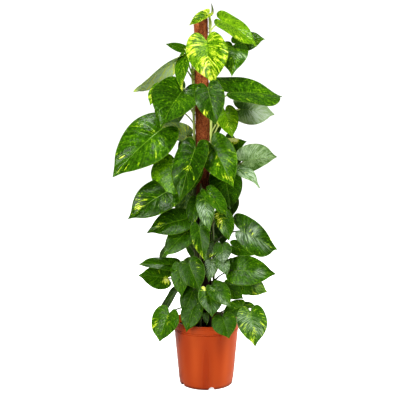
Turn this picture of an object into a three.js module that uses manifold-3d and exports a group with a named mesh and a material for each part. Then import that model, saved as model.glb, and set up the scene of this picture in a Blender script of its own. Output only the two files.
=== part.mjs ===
// A golden pothos climbing a coir pole in a nursery pot. Millimetres, +Z up, the pot's foot at z = 0.
// -Y is the front of the plant and +X its right.

import * as THREE from "three";
import { mergeVertices } from "three/addons/utils/BufferGeometryUtils.js";
import Module from "manifold-3d";

const wasm = await Module();
wasm.setup();

// Driving dimensions

const gap = 0.3;

const pot = {
  height: 188,
  rimRadius: 96,
  bandHeight: 25,
  bandStep: 1.5,
  footRadius: 78,
  wall: 2,
  floorTop: 7,
  footRingWidth: 9,
  padRadius: 28,
  recess: 3.5,
  sides: 42,
  notches: 5,
  notchWidth: 17,
  notchHeight: 9,
  notchDepth: 26,
  footStep: 14,
  firstNotch: -79,
};

const soil = { top: 168, bottom: pot.floorTop + gap, lump: 2.2, rings: 6, sides: 24 };

const pole = {
  top: 1064,
  lean: 0.86,
  coirRadius: 20,
  coirBottom: 30,
  stakeRadius: 13,
  stakeTop: 1058,
  sides: 12,
  rings: 28,
  roughness: 0.7,
};

const stem = { radius: 3.8, sides: 5, step: 44, bottom: 105, spread: 44, reachesPole: 330, offset: 27.5 };

const petiole = {
  radius: 1.7,
  sides: 4,
  steps: 3,
  outward: 0.25,
  upward: 0.35,
  under: 0.22,
  behind: 0.2,
};

// Blades from longFrom on get the finer grid: [rows along the margin, columns on each half].
const blade = {
  thickness: 0.8,
  longFrom: 118,
  fineGrid: [7, 2],
  plainGrid: [6, 1],
  lobeReach: 0.7,
  cup: 0.5,
  wave: 0.018,
  waves: 2.5,
};

const bud = { radius: 3.4, length: 34 };

// Each climbing stem: the side of the pole it grows on (degrees from +X), and how high it reaches.
const vines = {
  right: { azimuth: -22, top: 1078 },
  left: { azimuth: 200, top: 968 },
  front: { azimuth: -112, top: 590 },
  back_left: { azimuth: 134, top: 930 },
  back_right: { azimuth: 70, top: 985 },
};

// Leaves that show from the front. Each row: stem, height of its joint on the stem, where the blade
// starts, where it ends, width as a share of length, the way its upper side looks, fold in degrees,
// arch of the midrib as a share of length, and for lopsided blades how far one half runs ahead.
const leaves = [
  ["right", 1035, [5, -22, 1071], [-51, -62, 1029], 0.46, [0, -3, 1], 35, 0.03],
  ["right", 1025, [42, 0, 1057], [143, -60, 971], 0.56, [0, -3, 3], 14, 0.07, 0.18],
  ["back_right", 950, [89, 20, 995], [172, 10, 1007], 0.95, [0, -3, 2], 15, 0.04],
  ["right", 925, [0, -65, 988], [20, -75, 868], 1.15, [-3.2, -5, 1], 21, 0.06, -0.13],
  ["right", 880, [76, -35, 978], [70, -70, 889], 0.92, [0, -4, 2], 14, 0.18],
  ["left", 945, [-64, 10, 978], [-118, -10, 990], 0.45, [0, -3, 0], 15, 0.02],
  ["left", 905, [-62, -10, 957], [-69, -55, 851], 0.5, [-3, -3, 1], 12, 0.05],
  ["left", 890, [-88, 25, 946], [-212, 10, 855], 0.62, [0, 1, 3], -12, 0.04, 0.2],
  ["left", 840, [-135, -5, 868], [-162, -20, 812], 0.75, [-1, -3, 2], 15, 0.06],
  ["left", 790, [-67, -20, 856], [-125, -130, 744], 1.0, [-0.2, -5, 6], 27, 0.05, -0.08],
  ["right", 790, [3, -125, 851], [25, -140, 751], 0.82, [-1, -5, 2], 14, 0.06],
  ["right", 800, [66, -80, 844], [216, -30, 838], 0.86, [0, -3, 3], 18, 0.04, 0.24],
  ["back_right", 760, [98, 25, 807], [196, -15, 787], 0.95, [0, 3, 2], 12, 0.06],
  ["right", 735, [53, -45, 797], [73, -60, 719], 0.8, [0.5, -4, 1], 14, 0.06],
  ["right", 715, [41, -30, 800], [35, -45, 748], 0.5, [-2, -3, 1], 14, 0.06],
  ["left", 680, [-126, -65, 744], [-262, -85, 610], 0.78, [-1, -5, 2], 14, 0.06],
  ["back_left", 660, [-55, 30, 730], [-169, 60, 737], 0.72, [0, 3, 3], 20, 0.06],
  ["left", 670, [-31, -85, 690], [-74, -110, 540], 0.66, [-1.6, -4, 1], 20, 0.05],
  ["left", 610, [-86, -60, 654], [-77, -80, 535], 1.3, [-1, -4, 1], 14, 0.05],
  ["left", 545, [-103, -70, 573], [-220, -90, 491], 0.76, [-1, -5, 2], 14, 0.08],
  ["left", 440, [-59, -60, 490], [-168, -75, 452], 0.74, [-1, -5, 3], 14, 0.08],
  ["right", 625, [14, -62, 702], [75, -92, 581], 0.78, [0, -4, 1], 18, 0.06],
  ["back_right", 640, [50, 0, 690], [119, 10, 711], 0.75, [0, -3, 2], 14, 0.06],
  ["right", 600, [106, -20, 653], [207, -10, 666], 1.1, [0, 4, 3], 24, 0.05],
  ["right", 575, [79, -30, 634], [153, -35, 577], 0.7, [1, -2, 3], 16, 0.12],
  ["right", 540, [51, -15, 617], [70, -35, 514], 0.95, [1, -4, 1], 12, 0.06],
  ["front", 560, [2, -85, 568], [57, -105, 498], 0.68, [3, -4, 1], 24, 0.05],
  ["front", 530, [-5, -85, 556], [9, -110, 459], 0.54, [-1, -3, 1], 12, 0.08],
  ["right", 470, [44, -60, 507], [63, -85, 430], 0.68, [1, -4, 1], 16, 0.05],
  ["left", 500, [-28, -50, 543], [-44, -70, 468], 0.6, [-1, -4, 1], 14, 0.05],
  ["left", 430, [-22, -80, 472], [-8, -105, 380], 0.58, [0, -4, 1], 16, 0.06],
  ["left", 400, [-42, -55, 468], [-124, -75, 383], 0.63, [-1, -4, 1], 14, 0.04],
  ["left", 330, [-90, -40, 355], [-198, -60, 360], 0.66, [-1, -2, 4], 14, 0.02],
  ["left", 290, [-116, -20, 313], [-197, -35, 324], 0.9, [-1, -4, 2], 14, 0.05],
  ["front", 330, [-50, -85, 366], [-19, -105, 293], 0.95, [0, -4, 1], 14, 0.06],
  ["left", 290, [-74, -65, 356], [-70, -85, 271], 0.65, [-1, -4, 1], 14, 0.06],
  ["back_left", 240, [-93, 0, 277], [-120, 5, 235], 0.6, [-3, -1, 1], 14, 0.06],
  ["front", 260, [-38, -70, 285], [-64, -95, 222], 0.85, [-1, -4, 1], 14, 0.06],
  ["front", 200, [-35, -90, 247], [-56, -115, 179], 0.85, [-1, -4, 2], 14, 0.08],
  ["left", 210, [-106, -70, 221], [-133, -85, 142], 1.25, [-3, -4, 1], 26, 0.05],
  ["front", 230, [5, -95, 290], [15, -120, 222], 1.12, [2, -4, 2], 24, 0.06],
  ["front", 250, [20, -85, 300], [66, -110, 247], 0.95, [2, -4, 2], 22, 0.05],
  ["front", 360, [21, -60, 416], [-8, -80, 373], 0.7, [-1, -4, 1], 14, 0.06],
  ["front", 310, [15, -70, 375], [6, -85, 314], 0.6, [0, -4, 1], 14, 0.06],
  ["right", 340, [44, -78, 417], [46, -96, 366], 0.98, [0, -4, 2], 14, 0.06],
  ["right", 410, [98, -55, 456], [201, -75, 405], 0.92, [1, -4, 2], 16, 0.03, 0.28],
  ["right", 300, [78, -55, 342], [198, -65, 333], 0.77, [0, -4, 2], 14, 0.06],
  ["back_right", 260, [115, 0, 293], [181, -5, 268], 0.85, [0, -4, 2], 14, 0.06],
  ["back_right", 250, [88, -25, 301], [135, -35, 266], 0.85, [0, -4, 2], 14, 0.06],
  ["back_right", 210, [98, -20, 236], [154, -25, 212], 0.6, [1, -1, 3], 16, 0.14],
  ["right", 200, [105, -50, 238], [41, -80, 214], 0.72, [0, -4, 3], 14, 0.06],
  ["right", 185, [126, -65, 224], [138, -90, 131], 0.96, [1, -4, 1], 14, 0.05],
  ["right", 190, [45, -95, 215], [63, -120, 162], 1.2, [0, -4, 2], 14, 0.06],
  ["front", 190, [-2, -60, 217], [1, -75, 188], 0.6, [0, -4, 2], 14, 0.06],
  ["back_right", 340, [63, 0, 357], [75, 0, 295], 0.7, [1, 3, 1], 14, 0.06],
  ["right", 370, [76, -25, 408], [139, -25, 380], 0.7, [0, -4, 2], 14, 0.05],
  ["right", 230, [56, -40, 294], [107, -45, 257], 0.85, [0, -4, 1], 14, 0.05],
  ["right", 320, [42, -84, 378], [58, -98, 336], 0.85, [0, -4, 1], 14, 0.05],
];

// Leaves behind the pole, placed by rule: one at each joint, turned on round the stem.
const backLeaves = {
  lowest: 215,
  belowTop: 100,
  spacing: 76,
  turn: 137,
  swing: 30,
  length: 118,
  reach: 93,
  rise: 48,
  slope: 0.4,
  ratio: 0.85,
  fold: 14,
  arch: 0.1,
};

// Half of a heart-shaped outline, from the notch at the stalk round the lobe to the drip tip:
// [share of length, share of half width].
const halfHeart = [
  [0, 0],
  [-0.12, 0.17],
  [-0.155, 0.5],
  [-0.04, 0.84],
  [0.2, 1],
  [0.46, 0.91],
  [0.7, 0.6],
  [0.87, 0.21],
  [1, 0],
];

// Shape helpers

const margin = new THREE.SplineCurve(halfHeart.map(([u, v]) => new THREE.Vector2(u, v)));

const vector = (p) => new THREE.Vector3(...p);

// A small repeatable random number generator.
function seeded(seed) {
  let state = seed;
  return () => {
    state = (state * 1664525 + 1013904223) % 4294967296;
    return state / 4294967296;
  };
}

// A closed geometry as a solid that can be joined and cut.
function solidOf(geometry) {
  const bare = geometry.clone();
  bare.deleteAttribute("normal");
  bare.deleteAttribute("uv");
  const merged = mergeVertices(bare, 1e-3);
  return new wasm.Manifold(
    new wasm.Mesh({
      numProp: 3,
      vertProperties: new Float32Array(merged.attributes.position.array),
      triVerts: new Uint32Array(merged.index.array),
    }),
  );
}

// The largest body of a solid, with hollows that joining has sealed filled in.
function mainBody(solid) {
  const bodies = solid.decompose();
  return bodies.reduce((best, body) => (body.volume() > best.volume() ? body : best));
}

function geometryOf(solid) {
  const mesh = solid.getMesh();
  const geometry = new THREE.BufferGeometry();
  geometry.setAttribute("position", new THREE.BufferAttribute(new Float32Array(mesh.vertProperties), 3));
  geometry.setIndex(new THREE.BufferAttribute(new Uint32Array(mesh.triVerts), 1));
  geometry.computeVertexNormals();
  return geometry;
}

function polygon(radius, sides) {
  const shape = new THREE.Shape();
  for (let i = 0; i < sides; i++) {
    const angle = (2 * Math.PI * i) / sides;
    const x = radius * Math.cos(angle);
    const y = radius * Math.sin(angle);
    if (i === 0) shape.moveTo(x, y);
    else shape.lineTo(x, y);
  }
  shape.closePath();
  return shape;
}

function tube(curve, radius, sides, steps) {
  return solidOf(
    new THREE.ExtrudeGeometry(polygon(radius, sides), { steps, bevelEnabled: false, extrudePath: curve }),
  );
}

function turned(profile, sides) {
  const points = profile.map(([r, z]) => new THREE.Vector2(r, z));
  return new THREE.LatheGeometry(points, sides).rotateX(Math.PI / 2);
}

// The pot, its soil and the pole

const leanAngle = THREE.MathUtils.degToRad(pole.lean);

// The pole's axis at a height.
function poleAxis(z) {
  return new THREE.Vector3(-z * Math.tan(leanAngle), 0, z);
}

function wallRadius(z) {
  const bandBottom = pot.height - pot.bandHeight;
  const topOfWall = pot.rimRadius - pot.bandStep;
  return pot.footRadius + ((topOfWall - pot.footRadius) * z) / bandBottom;
}

function makePot() {
  const bandBottom = pot.height - pot.bandHeight;
  const ringInner = pot.footRadius - pot.footRingWidth;
  const outline = [
    [0, 0],
    [pot.padRadius, 0],
    [pot.padRadius + 3, pot.recess],
    [ringInner - 3, pot.recess],
    [ringInner, 0],
    [pot.footRadius - 2, 0],
    [pot.footRadius, 2],
    [wallRadius(pot.footStep), pot.footStep],
    [wallRadius(pot.footStep) + 0.8, pot.footStep + 1.5],
    [wallRadius(bandBottom), bandBottom],
    [pot.rimRadius - 0.4, bandBottom + 1],
    [pot.rimRadius, pot.height - 2],
    [pot.rimRadius - 1, pot.height],
    [pot.rimRadius - 3.5, pot.height],
    [pot.rimRadius - 4.5, pot.height - 2],
    [wallRadius(bandBottom) - pot.wall, bandBottom],
    [wallRadius(pot.floorTop + 3) - pot.wall, pot.floorTop + 3],
    [wallRadius(pot.floorTop) - pot.wall - 3, pot.floorTop],
    [0, pot.floorTop],
  ];
  let body = solidOf(turned(outline, pot.sides));
  for (let i = 0; i < pot.notches; i++) {
    const angle = THREE.MathUtils.degToRad(pot.firstNotch + (360 / pot.notches) * i);
    const notch = new THREE.CylinderGeometry(pot.notchHeight, pot.notchHeight, pot.notchDepth, 14)
      .scale(pot.notchWidth / (2 * pot.notchHeight), 1, 1)
      .rotateZ(-Math.PI / 2)
      .rotateX(Math.PI / 2)
      .translate(pot.footRadius, 0, 0)
      .rotateZ(angle);
    body = body.subtract(solidOf(notch));
  }
  return body;
}

// Lumps of the soil's surface and of the coir, as a smooth repeatable field.
function lumps(a, b, c) {
  return (
    Math.sin(a * 0.31 + 1.3 * Math.sin(b * 0.17)) * Math.cos(b * 0.27 + c) +
    0.6 * Math.sin(a * 0.53 - b * 0.41 + 2 * c)
  );
}

function makeSoil(stems, poleHole) {
  const clear = pot.wall + gap;
  const outer = (z) => wallRadius(Math.min(z, pot.height - pot.bandHeight)) - clear;
  const outline = [
    [0, soil.bottom],
    [outer(soil.bottom) - 4, soil.bottom],
    [outer(soil.bottom + 6) - 1, soil.bottom + 6],
    [outer(soil.top), soil.top - 5],
  ];
  for (let i = 1; i < soil.rings; i++)
    outline.push([outer(soil.top) * (1 - i / soil.rings), soil.top - 4 + 4 * Math.min(1, i / 2)]);
  outline.push([0, soil.top]);
  const geometry = turned(outline, soil.sides);
  const at = geometry.attributes.position;
  for (let i = 0; i < at.count; i++) {
    const r = Math.hypot(at.getX(i), at.getY(i));
    if (at.getZ(i) < soil.top - 4.5 || r < 1) continue;
    at.setZ(i, at.getZ(i) + soil.lump * 0.5 * lumps(at.getX(i), at.getY(i), 0.4));
  }
  let body = solidOf(geometry).subtract(poleHole);
  for (const hole of stems) body = body.subtract(hole);
  return mainBody(body);
}

// Stands the pole's solids up along its leaning axis.
function leaned(geometry) {
  return geometry.rotateY(-leanAngle);
}

function makeCoir() {
  const height = pole.top - pole.coirBottom;
  const outline = [];
  for (let i = 0; i <= pole.rings; i++)
    outline.push([pole.coirRadius, pole.coirBottom + (height * i) / pole.rings]);
  const bore = pole.stakeRadius + gap;
  outline.push([bore, pole.top], [bore, pole.coirBottom], [pole.coirRadius, pole.coirBottom]);
  const geometry = turned(outline, pole.sides);
  const at = geometry.attributes.position;
  for (let i = 0; i < at.count; i++) {
    const r = Math.hypot(at.getX(i), at.getY(i));
    if (r < pole.coirRadius - 1) continue;
    const angle = Math.atan2(at.getY(i), at.getX(i));
    const rough = pole.roughness * lumps(at.getZ(i), 40 * Math.sin(angle), 20 * Math.cos(angle));
    at.setX(i, at.getX(i) * (1 + rough / r));
    at.setY(i, at.getY(i) * (1 + rough / r));
  }
  return leaned(geometry);
}

function makeStake() {
  const bottom = pot.floorTop + 0.6;
  return leaned(
    turned(
      [
        [0, bottom],
        [pole.stakeRadius, bottom],
        [pole.stakeRadius, pole.stakeTop - 3],
        [pole.stakeRadius - 2, pole.stakeTop],
        [0, pole.stakeTop],
      ],
      pole.sides,
    ),
  );
}

function poleHole() {
  const r = pole.coirRadius + 2.2 * pole.roughness;
  return solidOf(
    leaned(turned([[0, 0], [r, 0], [r, soil.top + 40], [0, soil.top + 40]], 24)),
  );
}

// Stems

// A stem's centre at a height: out in the soil at first, then close along the pole.
function stemPoint(vine, z) {
  const rise = THREE.MathUtils.smoothstep(z, stem.bottom, stem.reachesPole);
  const away = THREE.MathUtils.lerp(stem.spread, stem.offset, rise);
  const sway = 7 * Math.sin(z / 85 + vine.azimuth);
  const angle = THREE.MathUtils.degToRad(vine.azimuth + sway);
  return poleAxis(z).add(new THREE.Vector3(away * Math.cos(angle), away * Math.sin(angle), 0));
}

function stemCurve(vine, top) {
  const points = [];
  const count = Math.round((top - stem.bottom) / stem.step);
  for (let i = 0; i <= count; i++)
    points.push(stemPoint(vine, stem.bottom + ((top - stem.bottom) * i) / count));
  return new THREE.CatmullRomCurve3(points);
}

function stemTube(vine, top, radius) {
  return tube(stemCurve(vine, top), radius, stem.sides, Math.round((top - stem.bottom) / stem.step));
}

// Leaves

// Length, and the directions along, across and out of a blade.
function bladeFrame(start, end, facing) {
  const along = end.clone().sub(start);
  const length = along.length();
  along.normalize();
  const up = facing.clone().addScaledVector(along, -facing.dot(along)).normalize();
  const across = up.clone().cross(along);
  return { start, length, along, across, up };
}

// A point of the blade's middle surface: t runs from stalk to tip along the margin, s from midrib
// (0) to margin (1). Each half rises from the midrib by the fold, cups down a little and waves.
function bladePoint(frame, shape, side, t, s) {
  const m = margin.getPoint(t);
  const lobe = m.x < 0 ? m.x * (blade.lobeReach + 0.5 * shape.ratio) : m.x;
  const u = THREE.MathUtils.lerp(t ** 3, lobe - side * shape.slant * m.y, s);
  const v = 0.5 * shape.ratio * m.y * s;
  const arch = shape.arch * Math.sin(Math.PI * THREE.MathUtils.clamp(u, 0, 1));
  const droop = u < 0 ? 1.8 * u * shape.arch : 0;
  const wave = blade.wave * Math.sin(2 * Math.PI * blade.waves * t + side + shape.phase) * s * s;
  const raised = arch + droop + v * Math.sin(shape.fold) - blade.cup * v * v + wave;
  return frame.start
    .clone()
    .addScaledVector(frame.along, frame.length * u)
    .addScaledVector(frame.across, frame.length * side * v * Math.cos(shape.fold))
    .addScaledVector(frame.up, frame.length * raised);
}

// The blade's grid of points, from the left margin over the midrib to the right one, one row for
// each step along the margin. The stalk end and the tip are single points.
function bladeGrid(frame, shape, rows, columns) {
  const points = [];
  const grid = [];
  for (let i = 0; i <= rows; i++) {
    const row = [];
    const single = i === 0 || i === rows;
    for (let j = -columns; j <= columns; j++) {
      if (single && row.length > 0) {
        row.push(row[0]);
        continue;
      }
      const s = single ? 0 : Math.abs(j) / columns;
      row.push(points.push(bladePoint(frame, shape, Math.sign(j) || 1, i / rows, s)) - 1);
    }
    grid.push(row);
  }
  return { points, grid };
}

// Triangles of the grid, mirrored about the midrib, without the ones that close to a line.
function bladeFaces(grid, columns) {
  const faces = [];
  for (let i = 0; i < grid.length - 1; i++)
    for (let j = 0; j < 2 * columns; j++) {
      const [a, b, c, d] = [grid[i][j], grid[i][j + 1], grid[i + 1][j + 1], grid[i + 1][j]];
      const halves = j < columns ? [[a, b, c], [a, c, d]] : [[a, b, d], [b, c, d]];
      for (const face of halves) if (new Set(face).size === 3) faces.push(face);
    }
  return faces;
}

// A blade of even thickness: the same grid on both faces, joined along the margin.
function bladeSolid(frame, shape) {
  const [rows, columns] = frame.length > blade.longFrom ? blade.fineGrid : blade.plainGrid;
  const { points, grid } = bladeGrid(frame, shape, rows, columns);
  const half = frame.up.clone().multiplyScalar(blade.thickness / 2 / Math.cos(shape.fold));
  const count = points.length;
  const index = [];
  for (const [a, b, c] of bladeFaces(grid, columns)) {
    index.push(a, c, b);
    index.push(count + a, count + b, count + c);
  }
  for (let i = 0; i < rows; i++)
    for (const [a, b] of [
      [grid[i + 1][0], grid[i][0]],
      [grid[i][2 * columns], grid[i + 1][2 * columns]],
    ])
      index.push(a, b, count + a, b, count + b, count + a);
  const positions = [
    ...points.flatMap((p) => p.clone().add(half).toArray()),
    ...points.flatMap((p) => p.clone().sub(half).toArray()),
  ];
  const geometry = new THREE.BufferGeometry();
  geometry.setAttribute("position", new THREE.Float32BufferAttribute(positions, 3));
  geometry.setIndex(index);
  return solidOf(geometry);
}

// A stalk from the stem to the blade's notch: out and up first, then over into the blade.
function petioleSolid(vine, height, frame) {
  const from = stemPoint(vine, height);
  const to = frame.start.clone().addScaledVector(frame.along, 0.02 * frame.length);
  const distance = from.distanceTo(to);
  const outward = from.clone().sub(poleAxis(height)).normalize();
  const first = from.clone().addScaledVector(outward, petiole.outward * distance);
  first.z += petiole.upward * distance;
  const last = to
    .clone()
    .addScaledVector(frame.up, -petiole.under * distance)
    .addScaledVector(frame.along, -petiole.behind * distance);
  const curve = new THREE.CubicBezierCurve3(from, first, last, to);
  return tube(curve, petiole.radius, petiole.sides, petiole.steps);
}

function leafSolids([vineName, height, start, end, ratio, facing, foldDegrees, arch, slant = 0]) {
  const frame = bladeFrame(vector(start), vector(end), vector(facing));
  const fold = THREE.MathUtils.degToRad(foldDegrees);
  const shape = { ratio, fold, arch, slant, phase: height };
  return [bladeSolid(frame, shape), petioleSolid(vines[vineName], height, frame)];
}

// Rows for the leaves behind the pole, in the same form as the hand-placed ones. They hang at one
// slope like roof tiles, which keeps them clear of each other.
function backLeafRows() {
  const random = seeded(11);
  const rows = [];
  const { slope, fold, arch } = backLeaves;
  for (const name of ["back_left", "back_right"]) {
    const vine = vines[name];
    let turn = 0;
    for (let z = backLeaves.lowest; z < vine.top - backLeaves.belowTop; z += backLeaves.spacing) {
      turn += backLeaves.turn;
      const swing = backLeaves.swing * Math.sin(THREE.MathUtils.degToRad(turn));
      const angle = THREE.MathUtils.degToRad(vine.azimuth + swing);
      const out = new THREE.Vector3(Math.cos(angle), Math.sin(angle), 0);
      const length = backLeaves.length * (0.85 + 0.3 * random());
      const start = poleAxis(z).addScaledVector(out, backLeaves.reach + 6 * random());
      start.z += backLeaves.rise + 10 * random();
      const end = start.clone().addScaledVector(out, slope * length);
      end.z -= 0.9 * length;
      const facing = out.clone().add(new THREE.Vector3(0, 0, slope));
      const ratio = backLeaves.ratio * (0.9 + 0.2 * random());
      rows.push([name, z, start.toArray(), end.toArray(), ratio, facing.toArray(), fold, arch]);
    }
  }
  return rows;
}

// The rolled new leaf at the top of a stem: it leaves the stem outwards and then points up.
function newLeaf(vine) {
  const base = stemPoint(vine, vine.top - 8);
  const curve = new THREE.CatmullRomCurve3([
    base,
    base.clone().add(new THREE.Vector3(8, -2, 10)),
    base.clone().add(new THREE.Vector3(4, -4, bud.length)),
  ]);
  return tube(curve, bud.radius, stem.sides, 3);
}

function makeVine(name, rows) {
  const vine = vines[name];
  const solids = [stemTube(vine, vine.top, stem.radius)];
  for (const row of rows) if (row[0] === name) solids.push(...leafSolids(row));
  if (name === "right") solids.push(newLeaf(vine));
  return mainBody(wasm.Manifold.union(solids));
}

// The assembled plant

const plant = new THREE.Group();

function addPiece(name, geometry, color, roughness) {
  const material = new THREE.MeshStandardMaterial({ color, roughness, metalness: 0 });
  const mesh = new THREE.Mesh(geometry, material);
  mesh.name = name;
  plant.add(mesh);
}

const stemHoles = Object.values(vines).map((vine) => stemTube(vine, vine.top, stem.radius + gap + 0.1));

addPiece("pot", geometryOf(makePot()), "#c8602f", 0.45);
addPiece("soil", geometryOf(makeSoil(stemHoles, poleHole())), "#2b1a12", 0.95);
addPiece("coir_pole", makeCoir(), "#7a4327", 0.95);
addPiece("pole_stake", makeStake(), "#b98d5a", 0.8);

const allRows = [...leaves, ...backLeafRows()];
for (const name of Object.keys(vines)) addPiece("vine_" + name, geometryOf(makeVine(name, allRows)), "#4c8a22", 0.4);

export default plant;
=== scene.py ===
import math
import random
import bmesh
import bpy
import numpy as np
from mathutils import Matrix, Vector, noise
from mathutils.bvhtree import BVHTree


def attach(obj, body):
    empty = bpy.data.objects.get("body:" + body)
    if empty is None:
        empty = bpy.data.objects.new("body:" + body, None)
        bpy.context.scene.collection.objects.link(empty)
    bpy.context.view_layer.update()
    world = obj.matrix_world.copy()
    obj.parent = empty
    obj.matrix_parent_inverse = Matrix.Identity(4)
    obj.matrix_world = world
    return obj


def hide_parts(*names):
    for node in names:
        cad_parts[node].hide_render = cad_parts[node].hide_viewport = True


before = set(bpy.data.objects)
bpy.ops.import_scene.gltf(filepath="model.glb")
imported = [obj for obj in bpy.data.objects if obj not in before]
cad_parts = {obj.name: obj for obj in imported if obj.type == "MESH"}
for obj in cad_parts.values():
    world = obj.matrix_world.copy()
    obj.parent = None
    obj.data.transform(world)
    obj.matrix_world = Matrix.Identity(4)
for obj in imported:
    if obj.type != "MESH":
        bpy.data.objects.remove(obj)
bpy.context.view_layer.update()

# A golden pothos on a coir pole in a nursery pot. The tables are in millimetres and the scene in
# metres. -Y is the front of the plant, +X its right, and the pot's foot is at z = 0.
mm = 0.001


def linear(hexColour):
    parts = [int(hexColour[i:i + 2], 16) / 255 for i in (1, 3, 5)]
    return [p / 12.92 if p <= 0.04045 else ((p + 0.055) / 1.055) ** 2.4 for p in parts] + [1.0]


# Adds a node. Its dictionary holds the node's own settings, numbers and hex colours for its inputs,
# the stops of a ramp, and what is linked: a socket, or a node by its first output that is in use.
def addNode(tree, kind, settings=None):
    node = tree.nodes.new("ShaderNode" + kind)
    for name, value in (settings or {}).items():
        if isinstance(value, bpy.types.Node):
            value = next(output for output in value.outputs if output.enabled)
        if isinstance(value, bpy.types.NodeSocket):
            tree.links.new(value, node.inputs[name])
        elif name == "stops":
            ramp = node.color_ramp.elements
            while len(ramp) < len(value):
                ramp.new(0.5)
            for stop, (place, colour) in zip(ramp, value):
                stop.position, stop.color = place, linear(colour)
        elif isinstance(name, str) and hasattr(node, name):
            setattr(node, name, value)
        else:
            node.inputs[name].default_value = linear(value) if isinstance(value, str) else value
    return node


def newMaterial(name):
    material = bpy.data.materials.new(name)
    material.use_nodes = True
    material.node_tree.nodes.clear()
    return material, material.node_tree


def addObject(name, data):
    made = bpy.data.objects.new(name, data)
    bpy.context.scene.collection.objects.link(made)
    return made


def smooth(x, low, high):
    x = np.clip((x - low) / (high - low), 0, 1)
    return x * x * (3 - 2 * x)


class MeshParts:
    # Gathers points, faces, material numbers, corner maps and point values of one piece.
    def __init__(self):
        self.points, self.faces, self.slots = [], [], []
        self.maps = {"grain": [], "blade": []}
        self.values = {"pale": [], "tone": [], "frost": [], "seed": []}
        self.count = 0

    def add(self, points, faces, slot, **extra):
        self.points.append(np.asarray(points, float))
        self.faces += [[i + self.count for i in face] for face in faces]
        self.slots += slot if isinstance(slot, list) else [slot] * len(faces)
        empty = np.zeros((sum(len(face) for face in faces), 2))
        for name, kept in self.maps.items():
            kept.append(np.asarray(extra.get(name, empty), float))
        for name, kept in self.values.items():
            kept.append(np.broadcast_to(np.asarray(extra.get(name, 0.0), float), (len(points),)))
        self.count += len(points)

    def build(self, name, materials):
        mesh = bpy.data.meshes.new(name)
        mesh.from_pydata(np.vstack(self.points) * mm, [], self.faces)
        for key, kept in self.maps.items():
            mesh.uv_layers.new(name=key).data.foreach_set("uv", np.vstack(kept).ravel())
        for key, kept in self.values.items():
            mesh.attributes.new(key, "FLOAT", "POINT").data.foreach_set("value", np.concatenate(kept))
        for material in materials:
            mesh.materials.append(material)
        mesh.polygons.foreach_set("material_index", self.slots)
        mesh.polygons.foreach_set("use_smooth", [True] * len(mesh.polygons))
        mesh.update()
        return addObject(name, mesh)


# A round tube along points, with a radius for each point and closed ends. The grain map runs in
# millimetres along and round it.
def addTube(parts, path, radii, sides, slot, **values):
    path = np.asarray(path, float)
    steps = len(path)
    heading = np.gradient(path, axis=0)
    heading /= np.linalg.norm(heading, axis=1)[:, None]
    spare = np.array([0.0, 1.0, 0.0]) if abs(heading[0][1]) < 0.8 else np.array([1.0, 0.0, 0.0])
    points, lengths = [], np.concatenate([[0], np.cumsum(np.linalg.norm(np.diff(path, axis=0), axis=1))])
    sideways = np.cross(heading[0], spare)
    for i in range(steps):
        sideways = sideways - heading[i] * np.dot(sideways, heading[i])
        sideways /= np.linalg.norm(sideways)
        other = np.cross(heading[i], sideways)
        for k in range(sides):
            angle = 2 * math.pi * k / sides
            points.append(path[i] + radii[i] * (math.cos(angle) * sideways + math.sin(angle) * other))
    faces, grain = [], []
    for i in range(steps - 1):
        for k in range(sides):
            n = (k + 1) % sides
            faces.append((i * sides + k, i * sides + n, (i + 1) * sides + n, (i + 1) * sides + k))
            around = [k, k + 1, k + 1, k]
            along = [i, i, i + 1, i + 1]
            grain += [(lengths[a], 2 * math.pi * radii[a] * r / sides) for a, r in zip(along, around)]
    faces.append(tuple(range(sides - 1, -1, -1)))
    faces.append(tuple((steps - 1) * sides + k for k in range(sides)))
    grain += [(0, 0)] * (2 * sides)
    parts.add(points, faces, slot, grain=grain, **values)


cameraPlace = {"at": (-0.0183, -1.870, 0.658), "down": 3.6, "lens": 57.6, "sensor": 36.0}

lens = bpy.data.cameras.new("photoView")
lens.lens, lens.sensor_width = cameraPlace["lens"], cameraPlace["sensor"]
camera = addObject("photoView", lens)
camera.location = cameraPlace["at"]
camera.rotation_euler = (math.radians(90 - cameraPlace["down"]), 0, 0)
bpy.context.scene.camera = camera
bpy.context.scene.view_settings.view_transform = "Standard"
bpy.context.scene.view_settings.look = "Medium High Contrast"

# Softboxes in metres and watts, all aimed at the middle of the plant.
softboxAim = Vector((0, 0, 0.6))
softboxes = {
    "leftLight": {"at": (-1.2, -2.1, 1.1), "wide": 0.35, "high": 1.5, "watts": 48},
    "rightLight": {"at": (2.3, 0.0, 0.9), "wide": 0.8, "high": 1.7, "watts": 66},
    "topLight": {"at": (-0.3, -1.3, 2.8), "wide": 0.8, "high": 0.5, "watts": 34},
    "backLight": {"at": (-0.6, 2.4, 1.8), "wide": 1.6, "high": 1.6, "watts": 20},
}

for name, box in softboxes.items():
    light = bpy.data.lights.new(name, "AREA")
    light.shape, light.energy = "RECTANGLE", box["watts"]
    light.size, light.size_y = box["wide"], box["high"]
    lamp = addObject(name, light)
    lamp.location = box["at"]
    lamp.rotation_euler = (softboxAim - lamp.location).to_track_quat("-Z", "Y").to_euler()

# The room is bright white to look at, and gives only a soft fill light.
roomLook = {"seen": 1.0, "given": 0.1, "mirrored": 0.15}
world = bpy.data.worlds.new("studio")
world.use_nodes = True
tree = world.node_tree
ray = addNode(tree, "LightPath")
mirrored = addNode(tree, "Math", {
    "operation": "MULTIPLY", 0: ray.outputs["Is Glossy Ray"], 1: roomLook["mirrored"]})
shown = addNode(tree, "Math", {"operation": "MAXIMUM", 0: ray.outputs["Is Camera Ray"], 1: mirrored})
strength = addNode(tree, "MapRange", {
    "To Min": roomLook["given"], "To Max": roomLook["seen"], "Value": shown})
background = tree.nodes["Background"]
background.inputs["Color"].default_value = (1, 1, 1, 1)
tree.links.new(strength.outputs["Result"], background.inputs["Strength"])
bpy.context.scene.world = world

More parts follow.
